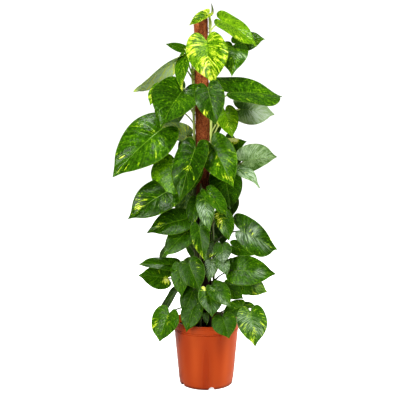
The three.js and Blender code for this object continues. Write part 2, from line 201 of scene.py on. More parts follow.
floorLook = {
    "halfSize": 9.0, "drop": 0.0005, "dim": "#e9e9e7", "bright": "#f4f4f3", "roughness": 0.8,
    "grainPerMetre": 140, "whiteFrom": 0.05, "whiteAt": 0.5, "glow": (0.7, 1.0),
}


# White paper sweep: matt, with a faint grain, and burnt out to plain white away from the plant.
def paperSweep():
    material, tree = newMaterial("paperSweep")
    place = addNode(tree, "TexCoord").outputs["Object"]
    grain = addNode(tree, "TexNoise", {"Scale": floorLook["grainPerMetre"], "Detail": 3.0, "Vector": place})
    tint = addNode(tree, "Mix", {
        "data_type": "RGBA", "A": floorLook["dim"], "B": floorLook["bright"], "Factor": grain})
    away = addNode(tree, "VectorMath", {"operation": "LENGTH", 0: place})
    burnt = addNode(tree, "MapRange", {
        "interpolation_type": "SMOOTHSTEP", "Value": away,
        "From Min": floorLook["whiteFrom"], "From Max": floorLook["whiteAt"],
        "To Min": floorLook["glow"][0], "To Max": floorLook["glow"][1]})
    ray = addNode(tree, "LightPath")
    shown = addNode(tree, "Math", {"operation": "MULTIPLY", 0: burnt, 1: ray.outputs["Is Camera Ray"]})
    surface = addNode(tree, "BsdfPrincipled", {
        "Roughness": floorLook["roughness"], "Base Color": tint, "Emission Color": "#ffffff",
        "Emission Strength": shown})
    addNode(tree, "OutputMaterial", {"Surface": surface})
    return material


floorMesh = bpy.data.meshes.new("floor")
half = floorLook["halfSize"]
corners = [(-half, -half, 0), (half, -half, 0), (half, half, 0), (-half, half, 0)]
floorMesh.from_pydata(corners, [], [(0, 1, 2, 3)])
floorMesh.materials.append(paperSweep())
floor = addObject("floor", floorMesh)
floor.location.z = -floorLook["drop"]
print("camera, softboxes and floor are set up")


pot = {
    "height": 188, "rimRadius": 96, "bandHeight": 25, "bandStep": 1.5, "footRadius": 78, "wall": 2,
    "floorTop": 7, "ringWidth": 9, "padRadius": 28, "recess": 3.5, "lip": 1.2, "footStep": 14,
    "notches": 5, "firstNotch": -79, "notchHalfWidth": 9, "notchHeight": 8.5, "notchDepth": 26,
    "notchSides": 40, "sides": 168, "sharpAngle": 32,
    "colour": "#ae4c1a", "dark": "#97360c", "roughness": (0.24, 0.34), "grainPerMetre": 650.0,
    # faint upright stripes painted into the colour as reflections
    "reflectionStripesPerMetre": 28.0, "reflectionStripesDrawnOut": 0.06, "reflectionStripesMoved": (0.7, 0.4, 0),
    # a painted contact shadow darkens the foot, fading out over its lowest 9 mm
    "paintedFootShadow": "#4a1804", "paintedFootShadowTo": 0.009,  # a height in metres
}


def wallRadius(z):
    top = pot["height"] - pot["bandHeight"]
    return pot["footRadius"] + (pot["rimRadius"] - pot["bandStep"] - pot["footRadius"]) * z / top


# A bmesh turned round the upright axis from points (radius, height).
def turned(outline, sides):
    made = bmesh.new()
    rings = []
    for r, z in outline:
        if r == 0:
            rings.append([made.verts.new((0, 0, z * mm))])
            continue
        ring = []
        for k in range(sides):
            a = 2 * math.pi * k / sides
            ring.append(made.verts.new((r * math.cos(a) * mm, r * math.sin(a) * mm, z * mm)))
        rings.append(ring)
    for low, high in zip(rings, rings[1:]):
        for k in range(sides):
            n = (k + 1) % sides
            corners = [low[k % len(low)], low[n % len(low)], high[n % len(high)], high[k % len(high)]]
            made.faces.new(list(dict.fromkeys(corners)))
    return made


# Polypropylene, injection moulded: an even terracotta-orange with a satin skin, faint upright light and dark
# stripes painted in as reflections, and a painted contact shadow darkening the foot.
def mouldedPolypropylene():
    material, tree = newMaterial("polypropyleneMoulded")
    place = addNode(tree, "TexCoord").outputs["Object"]
    # painted reflections: faint upright light and dark stripes, about 35 mm apart, that stand for reflections
    # in the satin wall
    upright = addNode(tree, "Mapping", {
        "Location": pot["reflectionStripesMoved"], "Scale": (1, 1, pot["reflectionStripesDrawnOut"]), "Vector": place})
    reflectionStripeNoise = addNode(tree, "TexNoise", {"Scale": pot["reflectionStripesPerMetre"], "Detail": 0.0, "Vector": upright})
    share = addNode(tree, "MapRange", {"From Min": 0.25, "From Max": 0.75, "Value": reflectionStripeNoise})
    base = addNode(tree, "Mix", {"data_type": "RGBA", "A": pot["dark"], "B": pot["colour"], "Factor": share})
    height = addNode(tree, "SeparateXYZ", {0: place})
    # painted contact shadow at the foot, fading out upwards
    outOfFootShadow = addNode(tree, "MapRange", {"From Max": pot["paintedFootShadowTo"], "Value": height.outputs["Z"]})
    footShadowed = addNode(tree, "Mix", {"data_type": "RGBA", "A": pot["paintedFootShadow"], "B": base, "Factor": outOfFootShadow})
    rough = addNode(tree, "MapRange", {
        "To Min": pot["roughness"][0], "To Max": pot["roughness"][1], "Value": reflectionStripeNoise})
    # the mould's eroded skin, about 0.8 mm from bump to bump, drawn at 1.5 mm so that it shows
    skin = addNode(tree, "TexNoise", {"Scale": pot["grainPerMetre"], "Detail": 2.0, "Vector": place})
    bump = addNode(tree, "Bump", {"Strength": 0.12, "Distance": 0.0003, "Height": skin})
    surface = addNode(tree, "BsdfPrincipled", {
        "IOR": 1.49, "Specular IOR Level": 0.16, "Base Color": footShadowed, "Roughness": rough, "Normal": bump})
    addNode(tree, "OutputMaterial", {"Surface": surface})
    return material


# Takes the shape that a piece has after its modifiers.
def applied(piece, name):
    shape = piece.evaluated_get(bpy.context.evaluated_depsgraph_get())
    mesh = bpy.data.meshes.new_from_object(shape)
    mesh.name = name
    piece.modifiers.clear()
    piece.data = mesh
    piece.name = name
    return piece


def makePot():
    band = pot["height"] - pot["bandHeight"]
    inner = pot["footRadius"] - pot["ringWidth"]
    step, wall, floorTop = pot["footStep"], pot["wall"], pot["floorTop"]
    rim, top = pot["rimRadius"], pot["height"]
    outline = [
        (0, 0), (pot["padRadius"] - 0.6, 0), (pot["padRadius"], 0.4), (pot["padRadius"] + 3, pot["recess"]),
        (inner - 3, pot["recess"]), (inner - 0.4, 0.4), (inner, 0), (pot["footRadius"] - 2, 0),
        (pot["footRadius"] - 0.6, 0.6), (pot["footRadius"], 2), (wallRadius(step), step),
        (wallRadius(step) + 0.25, step + 0.4), (wallRadius(step) + 0.8, step + 1.5),
        (wallRadius(step + 40) + 0.6, step + 40), (wallRadius(band - 3), band - 3),
        (wallRadius(band) - 1.2, band - 2.2), (wallRadius(band) - 1.2, band - 0.4), (wallRadius(band), band),
        (rim - 0.3, band + 0.3), (rim + 0.3, band + 0.9), (rim + 0.3, band + 2.4), (rim - 0.5, band + 3.2),
        (rim - 0.3, top - 10), (rim - 1.0, top - 9.4), (rim - 1.0, top - 8.8), (rim - 0.2, top - 8.2),
        (rim - 0.1, top - 4.6), (rim - 0.9, top - 4.2), (rim - 0.9, top - 3.6), (rim + 0.9, top - 3),
        (rim + pot["lip"], top - 2.2), (rim + 0.9, top - 1), (rim, top - 0.15), (rim - 1.2, top),
        (rim - 2.8, top - 0.1), (rim - 3.6, top - 0.6), (rim - 4.3, top - 2), (rim - 4.5, top - 4),
        (wallRadius(band) - wall, band), (wallRadius(floorTop + 3) - wall, floorTop + 3),
        (wallRadius(floorTop) - wall - 3, floorTop), (0, floorTop),
    ]
    made = turned(outline, pot["sides"])
    mesh = bpy.data.meshes.new("potBlank")
    bmesh.ops.recalc_face_normals(made, faces=made.faces)
    made.to_mesh(mesh)
    body = addObject("potBlank", mesh)
    cutters = []
    for i in range(pot["notches"]):
        angle = math.radians(pot["firstNotch"] + 360 / pot["notches"] * i)
        cut = bmesh.new()
        bmesh.ops.create_cone(cut, cap_ends=True, segments=pot["notchSides"], radius1=1, radius2=1,
                              depth=pot["notchDepth"] * mm)
        shape = (Matrix.Rotation(angle, 4, "Z") @ Matrix.Translation((pot["footRadius"] * mm, 0, 0))
                 @ Matrix.Diagonal((1, pot["notchHalfWidth"] * mm, pot["notchHeight"] * mm, 1))
                 @ Matrix.Rotation(math.pi / 2, 4, "Y"))
        bmesh.ops.transform(cut, matrix=shape, verts=cut.verts)
        cutMesh = bpy.data.meshes.new("notchCutter")
        cut.to_mesh(cutMesh)
        cutters.append(addObject("notchCutter", cutMesh))
        take = body.modifiers.new("notch", "BOOLEAN")
        take.operation, take.object, take.solver = "DIFFERENCE", cutters[-1], "EXACT"
    piece = applied(body, "nurseryPot")
    for cutter in cutters:
        bpy.data.objects.remove(cutter)
    piece.data.materials.clear()
    piece.data.materials.append(mouldedPolypropylene())
    piece.data.polygons.foreach_set("use_smooth", [True] * len(piece.data.polygons))
    piece.data.set_sharp_from_angle(angle=math.radians(pot["sharpAngle"]))
    return piece


nurseryPot = makePot()
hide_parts("pot")
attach(nurseryPot, "root")
print("pot turned and notched:", len(nurseryPot.data.polygons), "faces")


# The pole leans a little to the left. Its coir goes from dark gaps to pale loose hairs.
pole = {
    "bottom": 30, "top": 1064, "lean": 0.86, "radius": 20, "bore": 13.3, "around": 96, "along": 430,
    "mattedRadius": 19.5, "rough": 0.9, "tuftHeight": 6.5, "tuftsAround": 3.2, "fineShare": 0.5,
    "fineScale": 4.1,
    "dark": "#2e140a", "red": "#803e1e", "tan": "#b86c3c", "pale": "#dcaa74",
    # painted shade over the lower sleeve, deep in the foliage
    "paintedShade": "#3a2018", "paintedShadeTo": (0.5, 0.72),  # from and to these heights in metres
}


def poleAxis(z):
    return np.array([-z * math.tan(math.radians(pole["lean"])), 0.0, z])


mix = {
    "dark": "#150c08", "brown": "#3a2417", "light": "#6b4a30",
    "crumbsPerMetre": 260.0, "grainsPerMetre": 420.0,
    "crumbs": 1500, "crumbSize": (1.6, 5.2), "bigShare": 0.15, "bigger": 1.6,
    "wide": (0.45, 0.9), "tall": (0.3, 0.6), "turn": 6.28, "tilt": 0.5, "lift": 0.09, "lumps": 0.35,
    "lumpScale": 1.7, "reach": 90, "gapToPole": 3, "seed": 5,
    "castFrom": 0.3, "lowest": 0.15,  # heights in metres
}


# Peat with bark crumbs, watered: nearly black and matt, with a few paler bits of bark.
def wateredPeat():
    material, tree = newMaterial("wateredPeat")
    place = addNode(tree, "TexCoord").outputs["Object"]
    crumb = addNode(tree, "TexVoronoi", {"Scale": mix["crumbsPerMetre"], "Vector": place})  # about 4 mm wide
    fine = addNode(tree, "TexNoise", {
        "Scale": mix["grainsPerMetre"], "Detail": 5.0, "Roughness": 0.7, "Vector": place})
    tone = addNode(tree, "ValToRGB", {
        "stops": [(0.0, mix["dark"]), (0.55, mix["brown"]), (0.8, mix["dark"]), (1.0, mix["light"])],
        "Fac": crumb.outputs["Color"]})
    base = addNode(tree, "Mix", {
        "data_type": "RGBA", "blend_type": "MULTIPLY", "A": tone, "B": fine, "Factor": 0.8})
    height = addNode(tree, "Math", {"operation": "ADD", 0: crumb, 1: fine})
    bump = addNode(tree, "Bump", {"Strength": 0.9, "Distance": 0.0015, "Height": height})
    surface = addNode(tree, "BsdfPrincipled", {
        "Roughness": 0.95, "Specular IOR Level": 0.25, "Base Color": base, "Normal": bump})
    addNode(tree, "OutputMaterial", {"Surface": surface})
    return material


peat = wateredPeat()
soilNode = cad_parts["soil"]
soilNode.data.materials.clear()
soilNode.data.materials.append(peat)


def makeCrumbs():
    draw = random.Random(mix["seed"])
    ground = BVHTree.FromObject(soilNode, bpy.context.evaluated_depsgraph_get())
    parts = MeshParts()
    ball = bmesh.new()
    bmesh.ops.create_icosphere(ball, subdivisions=1, radius=1)
    shape = [v.co.copy() for v in ball.verts]
    faces = [[v.index for v in f.verts] for f in ball.faces]
    ball.free()
    for _ in range(mix["crumbs"]):
        r = mix["reach"] * math.sqrt(draw.random())
        a = draw.uniform(0, 2 * math.pi)
        spot = Vector((r * math.cos(a) * mm, r * math.sin(a) * mm, mix["castFrom"]))
        size = draw.uniform(*mix["crumbSize"]) * (1 if draw.random() > mix["bigShare"] else mix["bigger"])
        turn = Matrix.Rotation(draw.uniform(0, mix["turn"]), 3, "Z")
        turn = turn @ Matrix.Rotation(draw.uniform(-mix["tilt"], mix["tilt"]), 3, "X")
        wide, tall = draw.uniform(*mix["wide"]), draw.uniform(*mix["tall"])
        hit, _, _, _ = ground.ray_cast(spot, Vector((0, 0, -1)))
        if hit is None or hit.z < mix["lowest"]:
            continue
        x, y, z = (place / mm for place in hit)
        axis = poleAxis(z)
        if math.hypot(x - axis[0], y - axis[1]) < pole["radius"] + mix["gapToPole"]:
            continue
        points = []
        for v in shape:
            lump = 1 + mix["lumps"] * noise.noise(v * mix["lumpScale"] + Vector((r, a, size)))
            p = turn @ Vector((v.x, v.y * wide, v.z * tall)) * size / 2 * lump
            points.append((x + p.x, y + p.y, z + p.z + mix["lift"] * size))
        parts.add(points, faces, 0)
    return parts.build("mixCrumbs", [peat])


mixCrumbs = makeCrumbs()
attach(mixCrumbs, "root")
print("potting mix strewn")


# Coconut fibre, matted and glued to a sleeve: rusty brown, rough and dry, with paler loose hairs
# and near-black gaps between the tufts.
def mattedCoir(name, paler):
    material, tree = newMaterial(name)
    place = addNode(tree, "TexCoord").outputs["Object"]
    bend = addNode(tree, "TexNoise", {"Scale": 60.0, "Detail": 2.0, "Vector": place})
    along = addNode(tree, "VectorMath", {"operation": "MULTIPLY", 0: place, 1: (1, 1, 0.35)})
    swirl = addNode(tree, "VectorMath", {
        "operation": "MULTIPLY_ADD", 0: bend.outputs["Color"], 1: (0.03, 0.03, 0.03), 2: along})
    # tufts about 5 mm wide, broken up into ever finer hairs
    tufts = addNode(tree, "TexNoise", {"Scale": 210.0, "Detail": 6.0, "Roughness": 0.75, "Vector": swirl})
    tone = addNode(tree, "ValToRGB", {
        "stops": [(0.32 - paler, pole["dark"]), (0.46 - paler, pole["red"]), (0.6 - paler, pole["tan"]),
                  (0.75, pole["pale"])],
        "Fac": tufts})
    # painted shade darkens the lower part of the sleeve, which stands deep in the foliage, and fades out
    # upwards
    height = addNode(tree, "SeparateXYZ", {0: place})
    aboveShade = addNode(tree, "MapRange", {
        "From Min": pole["paintedShadeTo"][0], "From Max": pole["paintedShadeTo"][1], "Value": height.outputs["Z"]})
    shadedTone = addNode(tree, "Mix", {
        "data_type": "RGBA", "blend_type": "MULTIPLY", "A": tone, "B": pole["paintedShade"], "Factor": 1.0})
    coirShaded = addNode(tree, "Mix", {"data_type": "RGBA", "A": shadedTone, "B": tone, "Factor": aboveShade})
    bump = addNode(tree, "Bump", {"Strength": 0.8, "Distance": 0.001, "Height": tufts})
    surface = addNode(tree, "BsdfPrincipled", {
        "Roughness": 0.92, "Specular IOR Level": 0.3, "Base Color": coirShaded, "Normal": bump})
    addNode(tree, "OutputMaterial", {"Surface": surface})
    return material


def makeSleeve():
    parts = MeshParts()
    around, along = pole["around"], pole["along"]
    angles = [2 * math.pi * k / around for k in range(around)]
    points = []
    for i in range(along + 1):
        z = pole["bottom"] + (pole["top"] - pole["bottom"]) * i / along
        for a in angles:
            spot = Vector((math.cos(a) * pole["tuftsAround"], math.sin(a) * pole["tuftsAround"],
                           z / pole["tuftHeight"]))
            fine = pole["fineShare"] * noise.noise(spot * pole["fineScale"])
            r = pole["mattedRadius"] + pole["rough"] * (noise.fractal(spot, 0.8, 2.0, 4) + fine)
            points.append((r * math.cos(a), r * math.sin(a), z))
    for z in (pole["top"], pole["bottom"]):
        points += [(pole["bore"] * math.cos(a), pole["bore"] * math.sin(a), z) for a in angles]
    rings = list(range(along + 1)) + [along + 1, along + 2, 0]
    faces = []
    for low, high in zip(rings, rings[1:]):
        for k in range(around):
            n = (k + 1) % around
            faces.append((low * around + k, low * around + n, high * around + n, high * around + k))
    points = np.array(points)
    points[:, 0] -= points[:, 2] * math.tan(math.radians(pole["lean"]))
    parts.add(points, faces, 0)
    return parts.build("coirSleeve", [mattedCoir("coirMatted", 0.0)])


fibre = {
    "count": 2600, "steps": 6, "length": (8, 26), "slope": 1.4, "bow": 0.2, "radius": 0.22, "tipRadius": 0.1,
    "rootedAt": 19.7, "lifts": [0.4, 0.8, 1.2, 2.2], "liftedBy": (0.6, 1.3), "clearOfFoot": 10,
    "clearOfTop": 3, "above": 1.5, "seed": 3,
}


def makeFibres():
    draw = random.Random(fibre["seed"])
    parts = MeshParts()
    for _ in range(fibre["count"]):
        z = draw.uniform(pole["bottom"] + fibre["clearOfFoot"], pole["top"] - fibre["clearOfTop"])
        a = draw.uniform(0, 2 * math.pi)
        length = draw.uniform(*fibre["length"])
        slope = draw.uniform(-fibre["slope"], fibre["slope"])
        lift = draw.choice(fibre["lifts"]) * draw.uniform(*fibre["liftedBy"])
        bow = draw.uniform(-fibre["bow"], fibre["bow"])
        path, radii = [], []
        for i in range(fibre["steps"]):
            s = i / (fibre["steps"] - 1)
            turn = a + length * math.cos(slope) * (s - 0.5) / pole["radius"]
            r = fibre["rootedAt"] + lift * math.sin(math.pi * s)
            up = z + length * math.sin(slope) * (s - 0.5) + bow * length * math.sin(math.pi * s)
            axis = poleAxis(min(up, pole["top"] + fibre["above"]))
            path.append((axis[0] + r * math.cos(turn), r * math.sin(turn), axis[2]))
            radii.append(fibre["radius"] if 0 < s < 1 else fibre["tipRadius"])
        addTube(parts, path, radii, 3, 0)
    return parts.build("coirFibres", [mattedCoir("coirLooseHairs", 0.1)])


stake = {"dark": "#8a6238", "pale": "#c9a06a", "linesPerMetre": 420.0, "drawnOut": 0.06}


# Softwood, sawn and turned: pale, with fine growth lines about 2 mm apart along it.
def sawnSoftwood():
    material, tree = newMaterial("softwoodSawn")
    place = addNode(tree, "TexCoord").outputs["Object"]
    along = addNode(tree, "VectorMath", {"operation": "MULTIPLY", 0: place, 1: (1, 1, stake["drawnOut"])})
    rings = addNode(tree, "TexNoise", {"Scale": stake["linesPerMetre"], "Detail": 4.0, "Vector": along})
    tone = addNode(tree, "ValToRGB", {"stops": [(0.3, stake["dark"]), (0.7, stake["pale"])], "Fac": rings})
    surface = addNode(tree, "BsdfPrincipled", {"Roughness": 0.75, "Base Color": tone})
    addNode(tree, "OutputMaterial", {"Surface": surface})
    return material


coirSleeve = makeSleeve()
coirFibres = makeFibres()
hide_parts("coir_pole")
for piece in (coirSleeve, coirFibres):
    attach(piece, "root")
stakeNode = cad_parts["pole_stake"]
stakeNode.data.materials.clear()
stakeNode.data.materials.append(sawnSoftwood())
print("coir sleeve matted:", len(coirSleeve.data.polygons) + len(coirFibres.data.polygons), "faces")


stem = {
    "radius": 3.5, "swell": 0.7, "swellOver": 5.0, "endShare": 0.6, "sides": 14, "step": 5,
    "bottom": 105, "spread": 44, "reachesPole": 330, "offset": 27.5, "sway": 7, "swayOver": 85,
    "greens": (560, 820),  # old below the first height, young above the second
}
stalk = {
    "radius": 1.95, "sheath": 1.1, "sheathTo": 0.3, "knee": 0.5, "kneeAt": 0.93, "kneeOver": 0.05,
    "endShare": 0.75, "into": 0.02, "outward": 0.25, "upward": 0.35, "under": 0.22, "behind": 0.2,
    "sides": 10, "steps": 18,
}
blade = {
    "thickness": 0.8, "lobeReach": 0.7, "cup": 0.5, "droop": 1.8, "wave": 0.018, "waves": 2.5,
    "veins": 9, "veinSweep": 0.05, "quilt": 0.005, "quiltFrom": (0.05, 0.3), "ribWidth": 1.9, "ribFade": 0.75,
    "ribSunk": 0.35, "ribProud": 1.1, "edgeThinner": 0.35, "edgeCrowding": 1.15, "rows": 46, "columns": 14,
}

vines = {
    "right": {"azimuth": -22, "top": 1078},
    "left": {"azimuth": 200, "top": 968},
    "front": {"azimuth": -112, "top": 590},
    "back_left": {"azimuth": 134, "top": 930},
    "back_right": {"azimuth": 70, "top": 985},
}

# Leaves that show from the front. Each row: stem, height of its joint on the stem, where the blade
# starts, where it ends, width as a share of length, the way its upper side looks, fold in degrees,
# arch of the midrib as a share of length, and for lopsided blades how far one half runs ahead.
leaves = [
    ["right", 1035, [5, -22, 1071], [-51, -62, 1029], 0.46, [0, -3, 1], 35, 0.03],
    ["right", 1025, [42, 0, 1057], [143, -60, 971], 0.56, [0, -3, 3], 14, 0.07, 0.18],
    ["back_right", 950, [89, 20, 995], [172, 10, 1007], 0.95, [0, -3, 2], 15, 0.04],
    ["right", 925, [0, -65, 988], [20, -75, 868], 1.15, [-3.2, -5, 1], 21, 0.06, -0.13],
    ["right", 880, [76, -35, 978], [70, -70, 889], 0.92, [0, -4, 2], 14, 0.18],
    ["left", 945, [-64, 10, 978], [-118, -10, 990], 0.45, [0, -3, 0], 15, 0.02],
    ["left", 905, [-62, -10, 957], [-69, -55, 851], 0.5, [-3, -3, 1], 12, 0.05],
    ["left", 890, [-88, 25, 946], [-212, 10, 855], 0.62, [0, 1, 3], -12, 0.04, 0.2],
    ["left", 840, [-135, -5, 868], [-162, -20, 812], 0.75, [-1, -3, 2], 15, 0.06],
    ["left", 790, [-67, -20, 856], [-125, -130, 744], 1.0, [-0.2, -5, 6], 27, 0.05, -0.08],
    ["right", 790, [3, -125, 851], [25, -140, 751], 0.82, [-1, -5, 2], 14, 0.06],
    ["right", 800, [66, -80, 844], [216, -30, 838], 0.86, [0, -3, 3], 18, 0.04, 0.24],
    ["back_right", 760, [98, 25, 807], [196, -15, 787], 0.95, [0, 3, 2], 12, 0.06],
    ["right", 735, [53, -45, 797], [73, -60, 719], 0.8, [0.5, -4, 1], 14, 0.06],
    ["right", 715, [41, -30, 800], [35, -45, 748], 0.5, [-2, -3, 1], 14, 0.06],
    ["left", 680, [-126, -65, 744], [-262, -85, 610], 0.78, [-1, -5, 2], 14, 0.06],
    ["back_left", 660, [-55, 30, 730], [-169, 60, 737], 0.72, [0, 3, 3], 20, 0.06],
    ["left", 670, [-31, -85, 690], [-74, -110, 540], 0.66, [-1.6, -4, 1], 20, 0.05],
    ["left", 610, [-86, -60, 654], [-77, -80, 535], 1.3, [-1, -4, 1], 14, 0.05],
    ["left", 545, [-103, -70, 573], [-220, -90, 491], 0.76, [-1, -5, 2], 14, 0.08],
    ["left", 440, [-59, -60, 490], [-168, -75, 452], 0.74, [-1, -5, 3], 14, 0.08],
    ["right", 625, [14, -62, 702], [75, -92, 581], 0.78, [0, -4, 1], 18, 0.06],
    ["back_right", 640, [50, 0, 690], [119, 10, 711], 0.75, [0, -3, 2], 14, 0.06],
    ["right", 600, [106, -20, 653], [207, -10, 666], 1.1, [0, 4, 3], 24, 0.05],
    ["right", 575, [79, -30, 634], [153, -35, 577], 0.7, [1, -2, 3], 16, 0.12],
    ["right", 540, [51, -15, 617], [70, -35, 514], 0.95, [1, -4, 1], 12, 0.06],
    ["front", 560, [2, -85, 568], [57, -105, 498], 0.68, [3, -4, 1], 24, 0.05],
    ["front", 530, [-5, -85, 556], [9, -110, 459], 0.54, [-1, -3, 1], 12, 0.08],
    ["right", 470, [44, -60, 507], [63, -85, 430], 0.68, [1, -4, 1], 16, 0.05],
    ["left", 500, [-28, -50, 543], [-44, -70, 468], 0.6, [-1, -4, 1], 14, 0.05],
    ["left", 430, [-22, -80, 472], [-8, -105, 380], 0.58, [0, -4, 1], 16, 0.06],
    ["left", 400, [-42, -55, 468], [-124, -75, 383], 0.63, [-1, -4, 1], 14, 0.04],
    ["left", 330, [-90, -40, 355], [-198, -60, 360], 0.66, [-1, -2, 4], 14, 0.02],
    ["left", 290, [-116, -20, 313], [-197, -35, 324], 0.9, [-1, -4, 2], 14, 0.05],
    ["front", 330, [-50, -85, 366], [-19, -105, 293], 0.95, [0, -4, 1], 14, 0.06],
    ["left", 290, [-74, -65, 356], [-70, -85, 271], 0.65, [-1, -4, 1], 14, 0.06],
    ["back_left", 240, [-93, 0, 277], [-120, 5, 235], 0.6, [-3, -1, 1], 14, 0.06],
    ["front", 260, [-38, -70, 285], [-64, -95, 222], 0.85, [-1, -4, 1], 14, 0.06],
    ["front", 200, [-35, -90, 247], [-56, -115, 179], 0.85, [-1, -4, 2], 14, 0.08],
    ["left", 210, [-106, -70, 221], [-133, -85, 142], 1.25, [-3, -4, 1], 26, 0.05],
    ["front", 230, [5, -95, 290], [15, -120, 222], 1.12, [2, -4, 2], 24, 0.06],
    ["front", 250, [20, -85, 300], [66, -110, 247], 0.95, [2, -4, 2], 22, 0.05],
    ["front", 360, [21, -60, 416], [-8, -80, 373], 0.7, [-1, -4, 1], 14, 0.06],
    ["front", 310, [15, -70, 375], [6, -85, 314], 0.6, [0, -4, 1], 14, 0.06],
    ["right", 340, [44, -78, 417], [46, -96, 366], 0.98, [0, -4, 2], 14, 0.06],
    ["right", 410, [98, -55, 456], [201, -75, 405], 0.92, [1, -4, 2], 16, 0.03, 0.28],
    ["right", 300, [78, -55, 342], [198, -65, 333], 0.77, [0, -4, 2], 14, 0.06],
    ["back_right", 260, [115, 0, 293], [181, -5, 268], 0.85, [0, -4, 2], 14, 0.06],
    ["back_right", 250, [88, -25, 301], [135, -35, 266], 0.85, [0, -4, 2], 14, 0.06],
    ["back_right", 210, [98, -20, 236], [154, -25, 212], 0.6, [1, -1, 3], 16, 0.14],
    ["right", 200, [105, -50, 238], [41, -80, 214], 0.72, [0, -4, 3], 14, 0.06],
    ["right", 185, [126, -65, 224], [138, -90, 131], 0.96, [1, -4, 1], 14, 0.05],
    ["right", 190, [45, -95, 215], [63, -120, 162], 1.2, [0, -4, 2], 14, 0.06],
    ["front", 190, [-2, -60, 217], [1, -75, 188], 0.6, [0, -4, 2], 14, 0.06],
    ["back_right", 340, [63, 0, 357], [75, 0, 295], 0.7, [1, 3, 1], 14, 0.06],
    ["right", 370, [76, -25, 408], [139, -25, 380], 0.7, [0, -4, 2], 14, 0.05],
    ["right", 230, [56, -40, 294], [107, -45, 257], 0.85, [0, -4, 1], 14, 0.05],
    ["right", 320, [42, -84, 378], [58, -98, 336], 0.85, [0, -4, 1], 14, 0.05],
]

# Leaves behind the pole, placed by rule: one at each joint, turned on round the stem. A pair is a
# least value and how much a draw adds to it.
backLeaves = {
    "lowest": 215, "belowTop": 100, "spacing": 76, "turn": 137, "swing": 30, "length": 118,
    "lengthShare": (0.85, 0.3), "reach": (93, 6), "rise": (48, 10), "slope": 0.4, "hang": 0.9,
    "ratio": 0.85, "ratioShare": (0.9, 0.2), "fold": 14, "arch": 0.1, "seed": 11,
}

# Half of a heart-shaped outline, from the notch at the stalk round the lobe to the drip tip.
halfHeart = np.array([
    (0, 0), (-0.12, 0.17), (-0.155, 0.5), (-0.04, 0.84), (0.2, 1), (0.46, 0.91), (0.7, 0.6),
    (0.87, 0.21), (1, 0),
])


def marginAt(t):
    last = len(halfHeart) - 1
    p = np.asarray(t, float) * last
    i = np.minimum(np.floor(p).astype(int), last - 1)
    w = (p - i)[..., None]
    a, b = halfHeart[np.maximum(i - 1, 0)], halfHeart[i]
    c, d = halfHeart[i + 1], halfHeart[np.minimum(i + 2, last)]
    into, out = (c - a) / 2, (d - b) / 2
    return (2 * b - 2 * c + into + out) * w ** 3 + (-3 * b + 3 * c - 2 * into - out) * w ** 2 + into * w + b


def unit(v):
    return v / np.linalg.norm(v)


# A stem's centre at a height: out in the soil at first, then close along the pole.
def stemPoint(vine, z):
    rise = float(smooth(z, stem["bottom"], stem["reachesPole"]))
    away = stem["spread"] + (stem["offset"] - stem["spread"]) * rise
    angle = math.radians(vine["azimuth"] + stem["sway"] * math.sin(z / stem["swayOver"] + vine["azimuth"]))
    return poleAxis(z) + np.array([away * math.cos(angle), away * math.sin(angle), 0])


# Where a blade sits: its start, its length and its own three directions.
def bladeSeat(start, end, facing):
    start, end, facing = (np.array(v, float) for v in (start, end, facing))
    along = unit(end - start)
    up = unit(facing - along * np.dot(facing, along))
    return {"start": start, "length": np.linalg.norm(end - start), "along": along, "up": up,
            "across": np.cross(up, along)}


# The blade's middle surface: t runs from stalk to tip along the margin, s from midrib to margin.
# The second result is the place on the flat blade, as shares of its length.
def bladePoint(seat, shape, side, t, s):
    m = marginAt(t)
    x, y = m[..., 0], m[..., 1]
    lobe = np.where(x < 0, x * (blade["lobeReach"] + 0.5 * shape["ratio"]), x)
    u = t ** 3 + (lobe - side * shape["slant"] * y - t ** 3) * s
    v = 0.5 * shape["ratio"] * y * s
    arch = shape["arch"] * np.sin(math.pi * np.clip(u, 0, 1))
    droop = np.where(u < 0, blade["droop"] * u * shape["arch"], 0)
    wave = blade["wave"] * np.sin(2 * math.pi * blade["waves"] * t + side + shape["phase"]) * s * s
    fold = shape["fold"]
    # the flesh between the side veins stands up a little, and the margin ripples
    puff = np.abs(np.sin(math.pi * blade["veins"] * (t - blade["veinSweep"] * s * s))) ** 0.8 - 0.5
    inside = np.sin(math.pi * np.clip(s, 0, 1) ** 0.7) * smooth(t, *blade["quiltFrom"])
    raised = arch + droop + v * math.sin(fold) - blade["cup"] * v * v + wave + blade["quilt"] * puff * inside
    size = seat["length"]
    point = (seat["start"] + seat["along"] * (size * u)[..., None]
             + seat["across"] * (size * side * v * math.cos(fold))[..., None]
             + seat["up"] * (size * raised)[..., None])
    return point, np.stack([u, side * v], -1)


